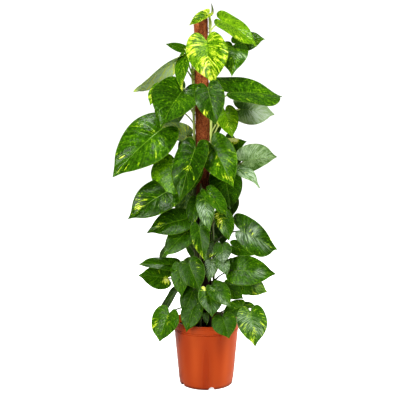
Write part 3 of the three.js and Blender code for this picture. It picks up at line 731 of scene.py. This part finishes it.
def addBlade(parts, seat, shape, look):
    rows, columns = blade["rows"], blade["columns"]
    across = np.arange(-columns, columns + 1)
    side = np.where(across < 0, -1, 1)
    share = (np.abs(across) / columns) ** blade["edgeCrowding"]
    t, s = np.meshgrid(np.linspace(0, 1, rows + 1), share, indexing="ij")
    place, flat = bladePoint(seat, shape, np.broadcast_to(side, t.shape), t, s)
    # the midrib stands out below and sinks in above
    fromRib = np.abs(flat[..., 1]) * seat["length"] / blade["ribWidth"]
    rib = np.exp(-fromRib ** 2) * (1 - blade["ribFade"] * t)
    half = blade["thickness"] / 2 / math.cos(shape["fold"]) * (1 - blade["edgeThinner"] * s ** 8)
    top = place + seat["up"] * (half - blade["ribSunk"] * rib)[..., None]
    under = place - seat["up"] * (half + blade["ribProud"] * rib)[..., None]
    # each end of the blade is one point, the midrib's
    wide = 2 * columns + 1
    number = np.arange((rows + 1) * wide).reshape(rows + 1, wide)
    for row in (0, rows):
        number[row, :] = number[row, 0]
        top[row, 0], under[row, 0] = top[row, columns], under[row, columns]
    keep = np.unique(number)
    renumber = {int(k): i for i, k in enumerate(keep)}
    count = len(keep)
    grainPlace = np.stack([t, s * side], -1)
    faces, slots, grain, spread = [], [], [], []

    def addFace(ids, cells, slot):
        faces.append(ids)
        slots.append(slot)
        grain.extend(grainPlace[cell] for cell in cells)
        spread.extend(flat[cell] for cell in cells)

    for i in range(rows):
        for j in range(2 * columns):
            corners = {}
            for cell in ((i + 1, j), (i + 1, j + 1), (i, j + 1), (i, j)):
                corners.setdefault(renumber[int(number[cell])], cell)
            if len(corners) > 2:
                ids, cells = list(corners), list(corners.values())
                addFace(ids, cells, 0)
                addFace([n + count for n in ids[::-1]], cells[::-1], 1)
    for i in range(rows):
        for j, turn in ((0, 1), (2 * columns, -1)):
            a, b = renumber[int(number[i, j])], renumber[int(number[i + 1, j])]
            addFace([a, b, b + count, a + count][::turn], [(i, j), (i + 1, j), (i + 1, j), (i, j)][::turn], 0)
    flatKept = flat.reshape(-1, 2)[keep]

    def painted(base, spots):
        value = np.full(count, base)
        for u, v, radius, strength in spots:
            away = (flatKept[:, 0] - u) ** 2 + (flatKept[:, 1] - v) ** 2
            value = value + strength * np.exp(-away / radius ** 2)
        return np.tile(value, 2)

    points = np.vstack([top.reshape(-1, 3)[keep], under.reshape(-1, 3)[keep]])
    # the sheen values place painted grey sheen and painted highlights on the blade
    parts.add(points, faces, slots, grain=grain, blade=spread, seed=look["seed"],
              pale=painted(look["pale"], look["patches"]), tone=painted(look["tone"], look["lights"]),
              frost=painted(0.0, look["frost"]))


def addStalk(parts, vine, height, seat, look):
    start = stemPoint(vine, height)
    end = seat["start"] + seat["along"] * stalk["into"] * seat["length"]
    distance = np.linalg.norm(end - start)
    outward = unit(start - poleAxis(height))
    first = start + outward * stalk["outward"] * distance + np.array([0, 0, stalk["upward"] * distance])
    last = end - seat["up"] * stalk["under"] * distance - seat["along"] * stalk["behind"] * distance
    path, radii = [], []
    for i in range(stalk["steps"] + 1):
        k = i / stalk["steps"]
        near, far = (1 - k) ** 3 * start + 3 * k * (1 - k) ** 2 * first, 3 * k * k * (1 - k) * last
        path.append(near + far + k ** 3 * end)
        sheath = stalk["sheath"] * (1 - float(smooth(k, 0.0, stalk["sheathTo"])))  # its foot clasps the stem
        knee = stalk["knee"] * math.exp(-((k - stalk["kneeAt"]) / stalk["kneeOver"]) ** 2)
        radii.append((stalk["radius"] + sheath + knee) * (1 if k < 1 else stalk["endShare"]))
    young = float(smooth(height, *stem["greens"])) - 0.5
    addTube(parts, path, radii, stalk["sides"], 2, tone=young, seed=look["seed"])


# The same seeded rule as in the solids, so that both have these leaves in the same places.
def backLeafRows():
    state = backLeaves["seed"]

    def draw():
        nonlocal state
        state = (state * 1664525 + 1013904223) % 4294967296
        return state / 4294967296

    def drawn(name):
        least, spread = backLeaves[name]
        return least + spread * draw()

    rows = []
    slope = backLeaves["slope"]
    for name in ("back_left", "back_right"):
        vine = vines[name]
        turn = 0
        z = backLeaves["lowest"]
        while z < vine["top"] - backLeaves["belowTop"]:
            turn += backLeaves["turn"]
            angle = math.radians(vine["azimuth"] + backLeaves["swing"] * math.sin(math.radians(turn)))
            out = np.array([math.cos(angle), math.sin(angle), 0])
            length = backLeaves["length"] * drawn("lengthShare")
            start = poleAxis(z) + out * drawn("reach")
            start[2] += drawn("rise")
            end = start + out * slope * length
            end[2] -= backLeaves["hang"] * length
            ratio = backLeaves["ratio"] * drawn("ratioShare")
            facing = out + np.array([0, 0, slope])
            rows.append([name, z, start, end, ratio, facing, backLeaves["fold"], backLeaves["arch"]])
            z += backLeaves["spacing"]
    return rows


# How each leaf of the table is coloured, by its row: tone (dark -1 to light 1) and how much of it is
# variegated, then lists of its yellow patches, of lighter or darker places and of painted grey sheen and
# highlights, each place as (along, across, radius, strength) in shares of its length.
leafLooks = {
    0: (0.4, 0.6, [(0.43, -0.04, 0.14, -0.6), (0.7, -0.02, 0.11, -0.5), (0.21, -0.07, 0.11, -0.3)]),
    1: (0.8, 0.08, [(0.54, -0.24, 0.1, 0.5), (0.66, -0.18, 0.08, 0.55), (0.4, 0.21, 0.06, 0.3),
        (0.29, -0.18, 0.06, 0.25)], [(0.01, 0.11, 0.12, 0.2)]),
    2: (0.25, 0, [(0.61, -0.31, 0.1, 0.4)]),
    3: (0.65, 0.43, [(0.04, -0.44, 0.16, 0.3), (-0.1, -0.34, 0.14, 0.1), (0.49, -0.13, 0.12, 0.35),
        (0.59, -0.07, 0.09, 0.3), (0.84, 0.01, 0.09, 0.25), (0.51, 0.2, 0.12, 0.15),
        (0.2, -0.09, 0.12, -0.3), (0.4, -0.28, 0.12, -0.25), (0.28, 0.05, 0.07, -0.2),
        (0.11, 0.15, 0.12, -0.15)], [], [(0, -0.3, 0.2, 0.6)]),
    4: (0.1, 0, [(0.8, -0.07, 0.09, 0.3)], [(0.01, -0.23, 0.15, 0.7)], [(0.26, -0.24, 0.07, 0.6),
        (0.32, -0.04, 0.07, 0.6), (0.38, 0.19, 0.09, 0.5), (0.43, 0.36, 0.09, 0.5)]),
    5: (-0.1, 0),
    6: (0.15, 0.05, [(0.81, 0.08, 0.1, 0.6), (0.94, 0.03, 0.1, 0.7), (0.56, 0.16, 0.07, 0.35)]),
    7: (1.5, 0.42, [], [], [(0.5, 0, 0.6, 1.5)]),
    8: (0.3, 0.2, [(0.59, -0.07, 0.18, 0.5), (0.3, -0.36, 0.14, 0.3)]),
    9: (-0.2, -0.05, [(0.76, -0.11, 0.05, 0.3)], [(0.45, 0.18, 0.2, 0.45), (0.22, -0.29, 0.2, -0.3)]),
    10: (-0.5, -0.05, [(0.63, -0.19, 0.08, 0.7), (0.75, -0.21, 0.07, 0.5)], [], [(0.36, -0.4, 0.08, 0.5)]),
    11: (-0.1, -0.06, [(0.22, -0.31, 0.05, 0.3), (0.36, -0.42, 0.07, 0.55), (0.48, -0.39, 0.05, 0.35)],
        [(0.59, 0.03, 0.16, 0.4)]),
    12: (0.9, -0.1, [], [(0, 0, 0.35, -1.2)], [(0.63, 0.05, 0.26, 1.5), (0.41, 0.25, 0.2, 1.2)]),
    13: (0.75, 0.1, [(-0.12, 0.16, 0.11, 0.35), (0.53, -0.08, 0.11, 0.4)]),
    14: (0.5, 0.8),
    15: (-0.25, -0.05, [(0.2, -0.26, 0.06, 0.45), (0.19, -0.12, 0.06, 0.3), (0.12, -0.05, 0.06, 0.3),
        (0.7, -0.13, 0.06, 0.7), (0.78, 0.07, 0.06, 0.6), (0.88, 0, 0.04, 0.5), (0.15, 0.14, 0.06, 0.12)],
        [(0.34, -0.09, 0.18, 0.2), (0.2, 0.2, 0.14, 0.6)]),
    16: (0.55, 0.42),
    17: (-0.7, -0.05, [(0.38, -0.05, 0.09, 0.5), (0.41, 0.02, 0.05, 0.35), (0.33, 0.19, 0.05, 0.3),
        (0.56, 0.17, 0.05, 0.35), (0.7, 0.1, 0.05, 0.35)], [(0.35, -0.2, 0.15, 0.3)]),
    18: (0.4, -0.05, [(0.24, -0.19, 0.07, 0.25), (0.48, -0.2, 0.07, 0.3)]),
    19: (-0.65, -0.05, [(0.6, -0.18, 0.08, 0.55), (0.49, -0.11, 0.06, 0.4), (0.71, -0.05, 0.08, 0.55),
        (0.58, 0.01, 0.06, 0.4), (0.87, -0.03, 0.06, 0.5), (0.5, 0.24, 0.06, 0.2)]),
    20: (-0.5, -0.05, [(0.63, -0.06, 0.1, 0.45), (0.73, -0.02, 0.07, 0.3)]),
    21: (0.05, 0, [(0.13, -0.15, 0.06, 0.55), (0.23, -0.23, 0.06, 0.45), (0.32, -0.03, 0.05, 0.55),
        (0.47, -0.09, 0.05, 0.55), (0.61, -0.13, 0.06, 0.5), (0.73, -0.11, 0.06, 0.5),
        (0.52, 0.13, 0.06, 0.3), (0.8, 0.01, 0.08, 0.45)]),
    22: (0, -0.05, [(0.4, 0.25, 0.18, 1.3), (0.6, 0.17, 0.14, 1)]),
    23: (0.35, -0.15, [], [(0.38, 0.43, 0.23, -0.3)], [(0.27, -0.34, 0.23, 0.6), (-0.08, -0.28, 0.14, 0.4),
        (0.64, -0.05, 0.17, 0.4)]),
    24: (0.2, -0.1, [(0.33, 0.07, 0.09, 0.3)], [], [(0.5, 0, 0.5, 0.8)]),
    25: (-0.5, -0.1),
    26: (-0.2, -0.05, [(0.16, -0.05, 0.08, 0.35), (0.41, -0.06, 0.08, 0.35), (0.65, -0.05, 0.08, 0.35),
        (0.83, -0.01, 0.08, 0.35)]),
    27: (-0.1, 0, [], [], [(0.37, -0.15, 0.16, 0.6), (0.46, 0.06, 0.14, 0.6), (0.69, -0.07, 0.14, 0.5)]),
    28: (-0.3, 0, [(0.04, -0.21, 0.12, 0.6), (0.27, -0.17, 0.14, 0.75), (0.48, -0.26, 0.1, 0.55),
        (0.01, 0.04, 0.1, 0.4)], [], [(0.56, -0.16, 0.14, 0.3)]),
    29: (-0.5, -0.05, [(0.76, 0.11, 0.11, 0.45)]),
    30: (-0.5, -0.05, [(0.48, -0.25, 0.09, 0.5), (0.66, -0.2, 0.1, 0.6), (0.83, -0.1, 0.1, 0.6),
        (0.95, -0.03, 0.09, 0.4)]),
    31: (-0.4, -0.05, [(0.2, 0.02, 0.07, 0.45), (0.08, -0.04, 0.07, 0.35)]),
    32: (-0.3, -0.05, [(0.89, 0.07, 0.08, 0.4)]),
    33: (-0.35, -0.05, [(-0.02, 0.06, 0.14, 0.95), (0.09, 0.16, 0.1, 0.6), (0.32, -0.18, 0.1, 0.35)]),
    34: (-0.55, -0.05, [(0.11, 0.26, 0.1, 0.4), (0.24, 0.3, 0.1, 0.35), (0.37, 0.06, 0.08, 0.2)]),
    35: (-0.3, -0.05),
    36: (-0.7, -0.1),
    37: (-0.8, -0.1),
    38: (-0.5, -0.05, [(0.16, 0.31, 0.11, 0.15)]),
    39: (-0.1, -0.02, [(0.13, 0.02, 0.08, 0.6), (0.31, 0.17, 0.08, 0.65), (0.52, 0.26, 0.08, 0.5),
        (0.42, -0.34, 0.1, 0.6), (0.57, -0.41, 0.1, 0.6), (0.27, -0.6, 0.1, 0.35)]),
    40: (-0.45, 0, [(-0.13, -0.21, 0.15, 0.95)], [(0.27, 0, 0.19, 0.5)], [(0.45, -0.36, 0.15, 0.3),
        (0.67, 0.19, 0.15, 0.3)]),
    41: (-0.45, 0, [(0.12, -0.14, 0.11, 0.2)], [(0.65, 0.11, 0.19, 0.4)], [(0.03, -0.09, 0.11, 0.4),
        (0.48, -0.14, 0.15, 0.45), (0.77, -0.06, 0.11, 0.4)]),
    42: (0.4, 0, [(0.62, 0.21, 0.2, 0.6)], [], [(0.34, -0.08, 0.4, 0.8)]),
    43: (-0.5, 0, [(-0.07, -0.02, 0.13, 0.25)], [], [(0.13, -0.2, 0.3, 0.45), (0.5, 0.07, 0.3, 0.45)]),
    44: (-0.6, 0, [], [(0.26, -0.06, 0.28, 0.2)], [(0.6, 0.25, 0.25, 0.55), (0.75, -0.1, 0.25, 0.45)]),
    45: (-0.5, 0, [(-0.01, 0.13, 0.07, 0.4), (0.24, 0.06, 0.07, 0.45), (0.73, 0.08, 0.1, 0.35)],
        [(0.37, -0.29, 0.17, 0.35)], [(0.02, -0.12, 0.14, 0.6), (0.25, -0.1, 0.14, 0.6),
        (0.3, 0.14, 0.12, 0.5), (0.5, -0.08, 0.1, 0.5), (0.7, -0.12, 0.1, 0.4)]),
    46: (-0.1, -0.15, [], [(0.36, 0.23, 0.19, 0.15)], [(0.62, -0.03, 0.09, 0.9)]),
    47: (0.35, 0.15, [(0.28, -0.34, 0.16, 0.5)], [], [(0.54, 0.04, 0.25, 0.3)]),
    48: (-0.3, 0),
    49: (0, 0.1),
    50: (-0.3, 0, [(-0.05, -0.21, 0.11, 0.3), (0.68, 0.13, 0.11, 0.3)], [(0.42, -0.16, 0.19, 0.25)]),
    51: (-0.1, 0.12, [(0.4, -0.32, 0.1, 0.3), (0.34, 0.29, 0.12, 0.2), (0.59, 0.34, 0.09, 0.2),
        (0.61, -0.04, 0.1, 0.35), (0.8, -0.1, 0.1, 0.4)], [], [(0.22, -0.3, 0.25, 0.5),
        (0.43, 0.06, 0.2, 0.4), (0.6, 0.25, 0.2, 0.3)]),
    52: (-0.35, -0.05),
    53: (0.2, 0.1, [], [], [(0.37, -0.01, 0.43, 0.4)]),
    54: (-0.2, 0, [], [], [(0.38, 0.24, 0.23, 0.5)]),
    55: (-0.2, -0.05),
    56: (-0.3, 0, [], [(0.46, -0.18, 0.18, 0.5)]),
    57: (-0.2, 0, [], [], [(0.5, 0, 0.4, 0.5)]),
}
plainLook = {"tone": (-0.5, 0.2), "pale": (-0.05, 0.12), "seeds": 50, "seed": 21}


def lookOf(row, draw):
    tone, pale = draw.uniform(*plainLook["tone"]), draw.uniform(*plainLook["pale"])
    seed = draw.uniform(0, plainLook["seeds"])
    tone, pale, *spots = leafLooks.get(row, (tone, pale))
    look = {"tone": tone, "pale": pale, "seed": seed, "patches": [], "lights": [], "frost": []}
    look.update(zip(("patches", "lights", "frost"), spots))
    return look


leafColours = {
    "deep": "#1e3a02", "mid": "#3b6706", "light": "#78a612", "lime": "#9fc41c", "yellow": "#dbe04a",
    "cream": "#eff0b0", "vein": "#82aa30", "under": "#9cb87e", "underMid": "#42661c", "underDeep": "#1c3408",
    # the next colour is the painted grey sheen laid over the green as highlights
    "frost": "#c3d3bd",
}

# The leaf's drawing. A blade is about 130 mm long, so 42 streaks stand 3 mm apart and 26 flakes are
# 5 mm wide. A layer of colour has the two values of what it follows between which it comes in, and
# how far it covers the green at each of them.
leafDrawing = {
    "roughness": 0.13, "roughnessBelow": 0.5, "streaks": (42.0, 1.8, 1), "flakes": (26.0, 26.0, 1),
    "calmBelow": 0.4, "paleShare": 0.75, "greens": (-0.85, 1.15), "midrib": (-0.008, 0.013), "groove": 0.39,
    # the first layer below is the painted grey sheen and highlights
    "frost": (0.44, 0.6, 0.1, 1.0), "lime": (0.33, 0.42, 0, 0.75), "yellow": (0.45, 0.55, 0, 0.85),
    "cream": (0.66, 0.84, 0, 0.8), "rib": (0, 1, 0, 0.5), "sideVein": (0, 0.09, 0.13, 0),
    "rim": (0.95, 1, 0, 0.4),
}


# Pothos leaf, with its waxed skin: deep green with lime and cream streaks that follow the side veins, a
# painted grey sheen and painted highlights, and small crisp highlights. Below it is paler, duller and calmer.
def leafSkin(name, below):
    material, tree = newMaterial(name)
    pale, tone, seed, frost = (addNode(tree, "Attribute", {"attribute_name": key}).outputs["Fac"]
                               for key in ("pale", "tone", "seed", "frost"))
    ts = addNode(tree, "SeparateXYZ", {0: addNode(tree, "UVMap", {"uv_map": "grain"})})
    uv = addNode(tree, "SeparateXYZ", {0: addNode(tree, "UVMap", {"uv_map": "blade"})})
    # side veins sweep forward towards the margin
    sideShare = addNode(tree, "Math", {"operation": "ABSOLUTE", 0: ts.outputs["Y"]})
    squared = addNode(tree, "Math", {"operation": "MULTIPLY", 0: sideShare, 1: sideShare})
    swept = addNode(tree, "Math", {"operation": "MULTIPLY", 0: squared, 1: blade["veinSweep"]})
    veinLine = addNode(tree, "Math", {"operation": "SUBTRACT", 0: ts.outputs["X"], 1: swept})
    # streaks run along the side veins, so their noise is long across the blade and short along it
    place = addNode(tree, "CombineXYZ", {"X": veinLine, "Y": ts.outputs["Y"], "Z": seed})
    place = addNode(tree, "VectorMath", {"operation": "MULTIPLY", 0: place, 1: leafDrawing["streaks"]})
    streaks = addNode(tree, "TexNoise", {
        "Scale": 1.0, "Detail": 4.0, "Roughness": 0.66, "Distortion": 0.5, "Vector": place})
    place = addNode(tree, "CombineXYZ", {"X": uv.outputs["X"], "Y": uv.outputs["Y"], "Z": seed})
    place = addNode(tree, "VectorMath", {"operation": "MULTIPLY", 0: place, 1: leafDrawing["flakes"]})
    flakes = addNode(tree, "TexNoise", {"Scale": 1.0, "Detail": 3.0, "Roughness": 0.6, "Vector": place})
    clouds = addNode(tree, "TexNoise", {"Scale": 0.22, "Detail": 2.0, "Vector": place})
    # two sums of the patterns about their middles: how pale it is, and how light a green
    calm = leafDrawing["calmBelow"] if below else 1.0
    paleness = addNode(tree, "Math", {"operation": "MULTIPLY", 0: pale, 1: leafDrawing["paleShare"]})
    sums = {"pale": paleness, "green": tone}
    for key, pattern, weight in (("pale", streaks, 2.4), ("pale", flakes, 0.5), ("green", clouds, 0.9),
                                 ("green", streaks, 2.9 * calm), ("green", flakes, 3.1 * calm)):
        middle = addNode(tree, "Math", {"operation": "SUBTRACT", 0: pattern, 1: 0.5})
        sums[key] = addNode(tree, "Math", {"operation": "MULTIPLY_ADD", 0: middle, 1: weight, 2: sums[key]})
    low, high = leafDrawing["greens"]
    greenness = addNode(tree, "MapRange", {"From Min": low, "From Max": high, "Value": sums["green"]})
    greens = ((0.0, "deep"), (0.5, "mid"), (1.0, "light"))
    if below:
        greens = ((0.0, "underDeep"), (0.45, "underMid"), (0.8, "under"))
    colour = addNode(tree, "ValToRGB", {
        "stops": [(place, leafColours[green]) for place, green in greens], "Fac": greenness})
    # the midrib, about 2 mm wide at the stalk and fading to the tip
    slope, width = leafDrawing["midrib"]
    ribWidth = addNode(tree, "Math", {"operation": "MULTIPLY_ADD", 0: uv.outputs["X"], 1: slope, 2: width})
    fromRib = addNode(tree, "Math", {"operation": "ABSOLUTE", 0: uv.outputs["Y"]})
    fromRib = addNode(tree, "Math", {"operation": "DIVIDE", 0: fromRib, 1: ribWidth})
    rib = addNode(tree, "Math", {"operation": "SUBTRACT", 0: 1.0, 1: fromRib})
    sideVein = addNode(tree, "Math", {"operation": "MULTIPLY", 0: veinLine, 1: float(blade["veins"])})
    sideVein = addNode(tree, "Math", {"operation": "PINGPONG", 0: sideVein, 1: 0.5})
    # over the green lie a painted grey sheen and painted highlights, broken up along the side veins, the
    # variegation, the midrib, the side veins and the blade's thin pale rim, about 1 mm wide, which is partly
    # the margin's own paler colour and partly a painted edge highlight
    for layer, hexColour, follows in (
            ("frost", leafColours["frost"], streaks), ("lime", leafColours["lime"], sums["pale"]),
            ("yellow", leafColours["yellow"], sums["pale"]), ("cream", leafColours["cream"], sums["pale"]),
            ("rib", leafColours["vein"], rib), ("sideVein", leafColours["vein"], sideVein),
            # the pale rim is partly the margin's own colour and partly a painted edge highlight
            ("rim", leafColours["vein"], sideShare)):
        low, high, least, most = leafDrawing[layer]
        share = addNode(tree, "MapRange", {
            "From Min": low, "From Max": high, "To Min": least, "To Max": most, "Value": follows})
        # painted sheen: light grey-green painted over the green where lamps would glint on the wax, and
        # spread over some blades in shade to lighten them
        if layer == "frost":
            share = addNode(tree, "Math", {"operation": "MULTIPLY", 0: share, 1: frost})
        colour = addNode(tree, "Mix", {"data_type": "RGBA", "A": colour, "B": hexColour, "Factor": share})
    # side veins sunk above and raised below, and a fine skin grain of about 0.5 mm, drawn coarser
    height = addNode(tree, "MapRange", {
        "From Max": leafDrawing["sideVein"][1], "To Min": leafDrawing["groove"] * (1 if below else -1),
        "To Max": 0.0, "Value": sideVein})
    skin = addNode(tree, "TexNoise", {"Scale": 9.0, "Detail": 2.0, "Vector": place})
    for pattern, weight in ((skin, 0.18), (flakes, 3.2)):
        height = addNode(tree, "Math", {"operation": "MULTIPLY_ADD", 0: pattern, 1: weight, 2: height})
    bump = addNode(tree, "Bump", {"Strength": 0.5, "Distance": 0.0006, "Height": height})
    surface = addNode(tree, "BsdfPrincipled", {
        "Roughness": leafDrawing["roughnessBelow" if below else "roughness"], "IOR": 1.42,
        "Specular IOR Level": 0.17, "Base Color": colour, "Normal": bump})
    addNode(tree, "OutputMaterial", {"Surface": surface})
    return material


stalkColours = {
    "green": "#9fba44", "pale": "#d3d98c", "old": "#46521c", "brown": "#6d5130", "root": "#6a4a30",
}


# Young stem and leaf stalks: smooth, firm and faintly waxy, pale green with lengthwise streaks
# about 1 mm apart, and darker the older they are.
def stalkSkin(name, first, second):
    material, tree = newMaterial(name)
    grain = addNode(tree, "UVMap", {"uv_map": "grain"})
    place = addNode(tree, "Mapping", {"Scale": (0.03, 0.7, 1), "Vector": grain})
    streaks = addNode(tree, "TexNoise", {"Scale": 1.6, "Detail": 4.0, "Vector": place})
    tone = addNode(tree, "ValToRGB", {"stops": [(0.35, first), (0.65, second)], "Fac": streaks})
    age = addNode(tree, "Attribute", {"attribute_name": "tone"}).outputs["Fac"]
    share = addNode(tree, "MapRange", {"From Min": 0.5, "From Max": -0.5, "Value": age})
    aged = addNode(tree, "Mix", {"data_type": "RGBA", "A": tone, "B": stalkColours["old"], "Factor": share})
    bump = addNode(tree, "Bump", {"Strength": 0.3, "Distance": 0.0004, "Height": streaks})
    surface = addNode(tree, "BsdfPrincipled", {
        "Roughness": 0.42, "IOR": 1.42, "Base Color": aged, "Normal": bump})
    addNode(tree, "OutputMaterial", {"Surface": surface})
    return material


leafMaterials = [
    leafSkin("pothosLeafUpper", False), leafSkin("pothosLeafUnder", True),
    stalkSkin("pothosStalk", stalkColours["green"], stalkColours["pale"]),
    stalkSkin("pothosAerialRoot", stalkColours["brown"], stalkColours["root"]),
]


aerialRoot = {
    "perJoint": 2, "below": 3, "turn": (0.5, 1.0), "reach": (7, 13), "drop": (-3, 6), "aside": 3.4,
    "radii": [1.2, 1.0, 0.8, 0.4], "sides": 7,
    # for each point of the root its share of the reach, how far inwards, and its share of the drop
    "knots": [(0, 0, 0), (0.4, 1.5, 0), (0.7, 4.0, 0.5), (0.75, 6.0, 1)],
}


def addStem(parts, name, joints, draw):
    vine = vines[name]
    heights = np.arange(stem["bottom"], vine["top"] + 0.1, stem["step"])
    radii = []
    for z in heights:
        near = min(abs(z - joint) for joint in joints)
        swell = stem["swell"] * math.exp(-(near / stem["swellOver"]) ** 2)
        radii.append((stem["radius"] + swell) * (1 if z < vine["top"] - stem["step"] else stem["endShare"]))
    young = np.repeat(2 * smooth(heights, *stem["greens"]) - 1, stem["sides"])
    addTube(parts, [stemPoint(vine, z) for z in heights], radii, stem["sides"], 2, tone=young)
    # short aerial roots at the joints, feeling for the coir
    for z in joints:
        for _ in range(aerialRoot["perJoint"]):
            base = stemPoint(vine, z - aerialRoot["below"])
            inward = unit(poleAxis(z) - base)
            aside = np.cross([0, 0, 1], inward) * (draw.choice((-1, 1)) * draw.uniform(*aerialRoot["turn"]))
            reach = draw.uniform(*aerialRoot["reach"])
            drop = np.array([0, 0, draw.uniform(*aerialRoot["drop"])])
            path = [base + aside * (aerialRoot["aside"] + reach * share) + inward * inwards - drop * dropShare
                    for share, inwards, dropShare in aerialRoot["knots"]]
            addTube(parts, path, aerialRoot["radii"], aerialRoot["sides"], 3)


newLeaf = {
    "below": 8, "through": [8, -2, 10], "tip": [4, -4, 34], "steps": 14, "sides": 12,
    "radius": 4.1, "skin": 0.1, "thinnest": 0.3, "widestFrom": 0.25, "tones": (0.3, -0.9),
}


# The rolled new leaf: a spindle that leaves the stem outwards and then points up.
def addNewLeaf(parts, vine):
    base = stemPoint(vine, vine["top"] - newLeaf["below"])
    through, tip = base + newLeaf["through"], base + newLeaf["tip"]
    control = 2 * through - (base + tip) / 2
    path, radii = [], []
    for i in range(newLeaf["steps"] + 1):
        k = i / newLeaf["steps"]
        path.append(base * (1 - k) ** 2 + control * 2 * k * (1 - k) + tip * k * k)
        plump = math.sin(math.pi * (newLeaf["widestFrom"] + (1 - newLeaf["widestFrom"]) * k)) ** 0.8
        radii.append(max(newLeaf["thinnest"], newLeaf["radius"] * plump + newLeaf["skin"]))
    tones = np.repeat(np.linspace(*newLeaf["tones"], len(path)), newLeaf["sides"])
    addTube(parts, path, radii, newLeaf["sides"], 2, tone=tones)


allRows = leaves + backLeafRows()
draw = random.Random(plainLook["seed"])
looks = [lookOf(i, draw) for i in range(len(allRows))]

for name, vine in vines.items():
    parts = MeshParts()
    joints = []
    for (owner, height, start, end, ratio, facing, fold, arch, *slant), look in zip(allRows, looks):
        if owner != name:
            continue
        joints.append(height)
        seat = bladeSeat(start, end, facing)
        shape = {"ratio": ratio, "fold": math.radians(fold), "arch": arch, "slant": slant[0] if slant else 0,
                 "phase": height}
        addBlade(parts, seat, shape, look)
        addStalk(parts, vine, height, seat, look)
    addStem(parts, name, joints, random.Random(vine["top"]))
    if name == "right":
        addNewLeaf(parts, vine)
    piece = parts.build("vine" + name.title().replace("_", ""), leafMaterials)
    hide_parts("vine_" + name)
    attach(piece, "root")
    print(piece.name, "grown:", len(joints), "leaves,", len(piece.data.polygons), "faces")
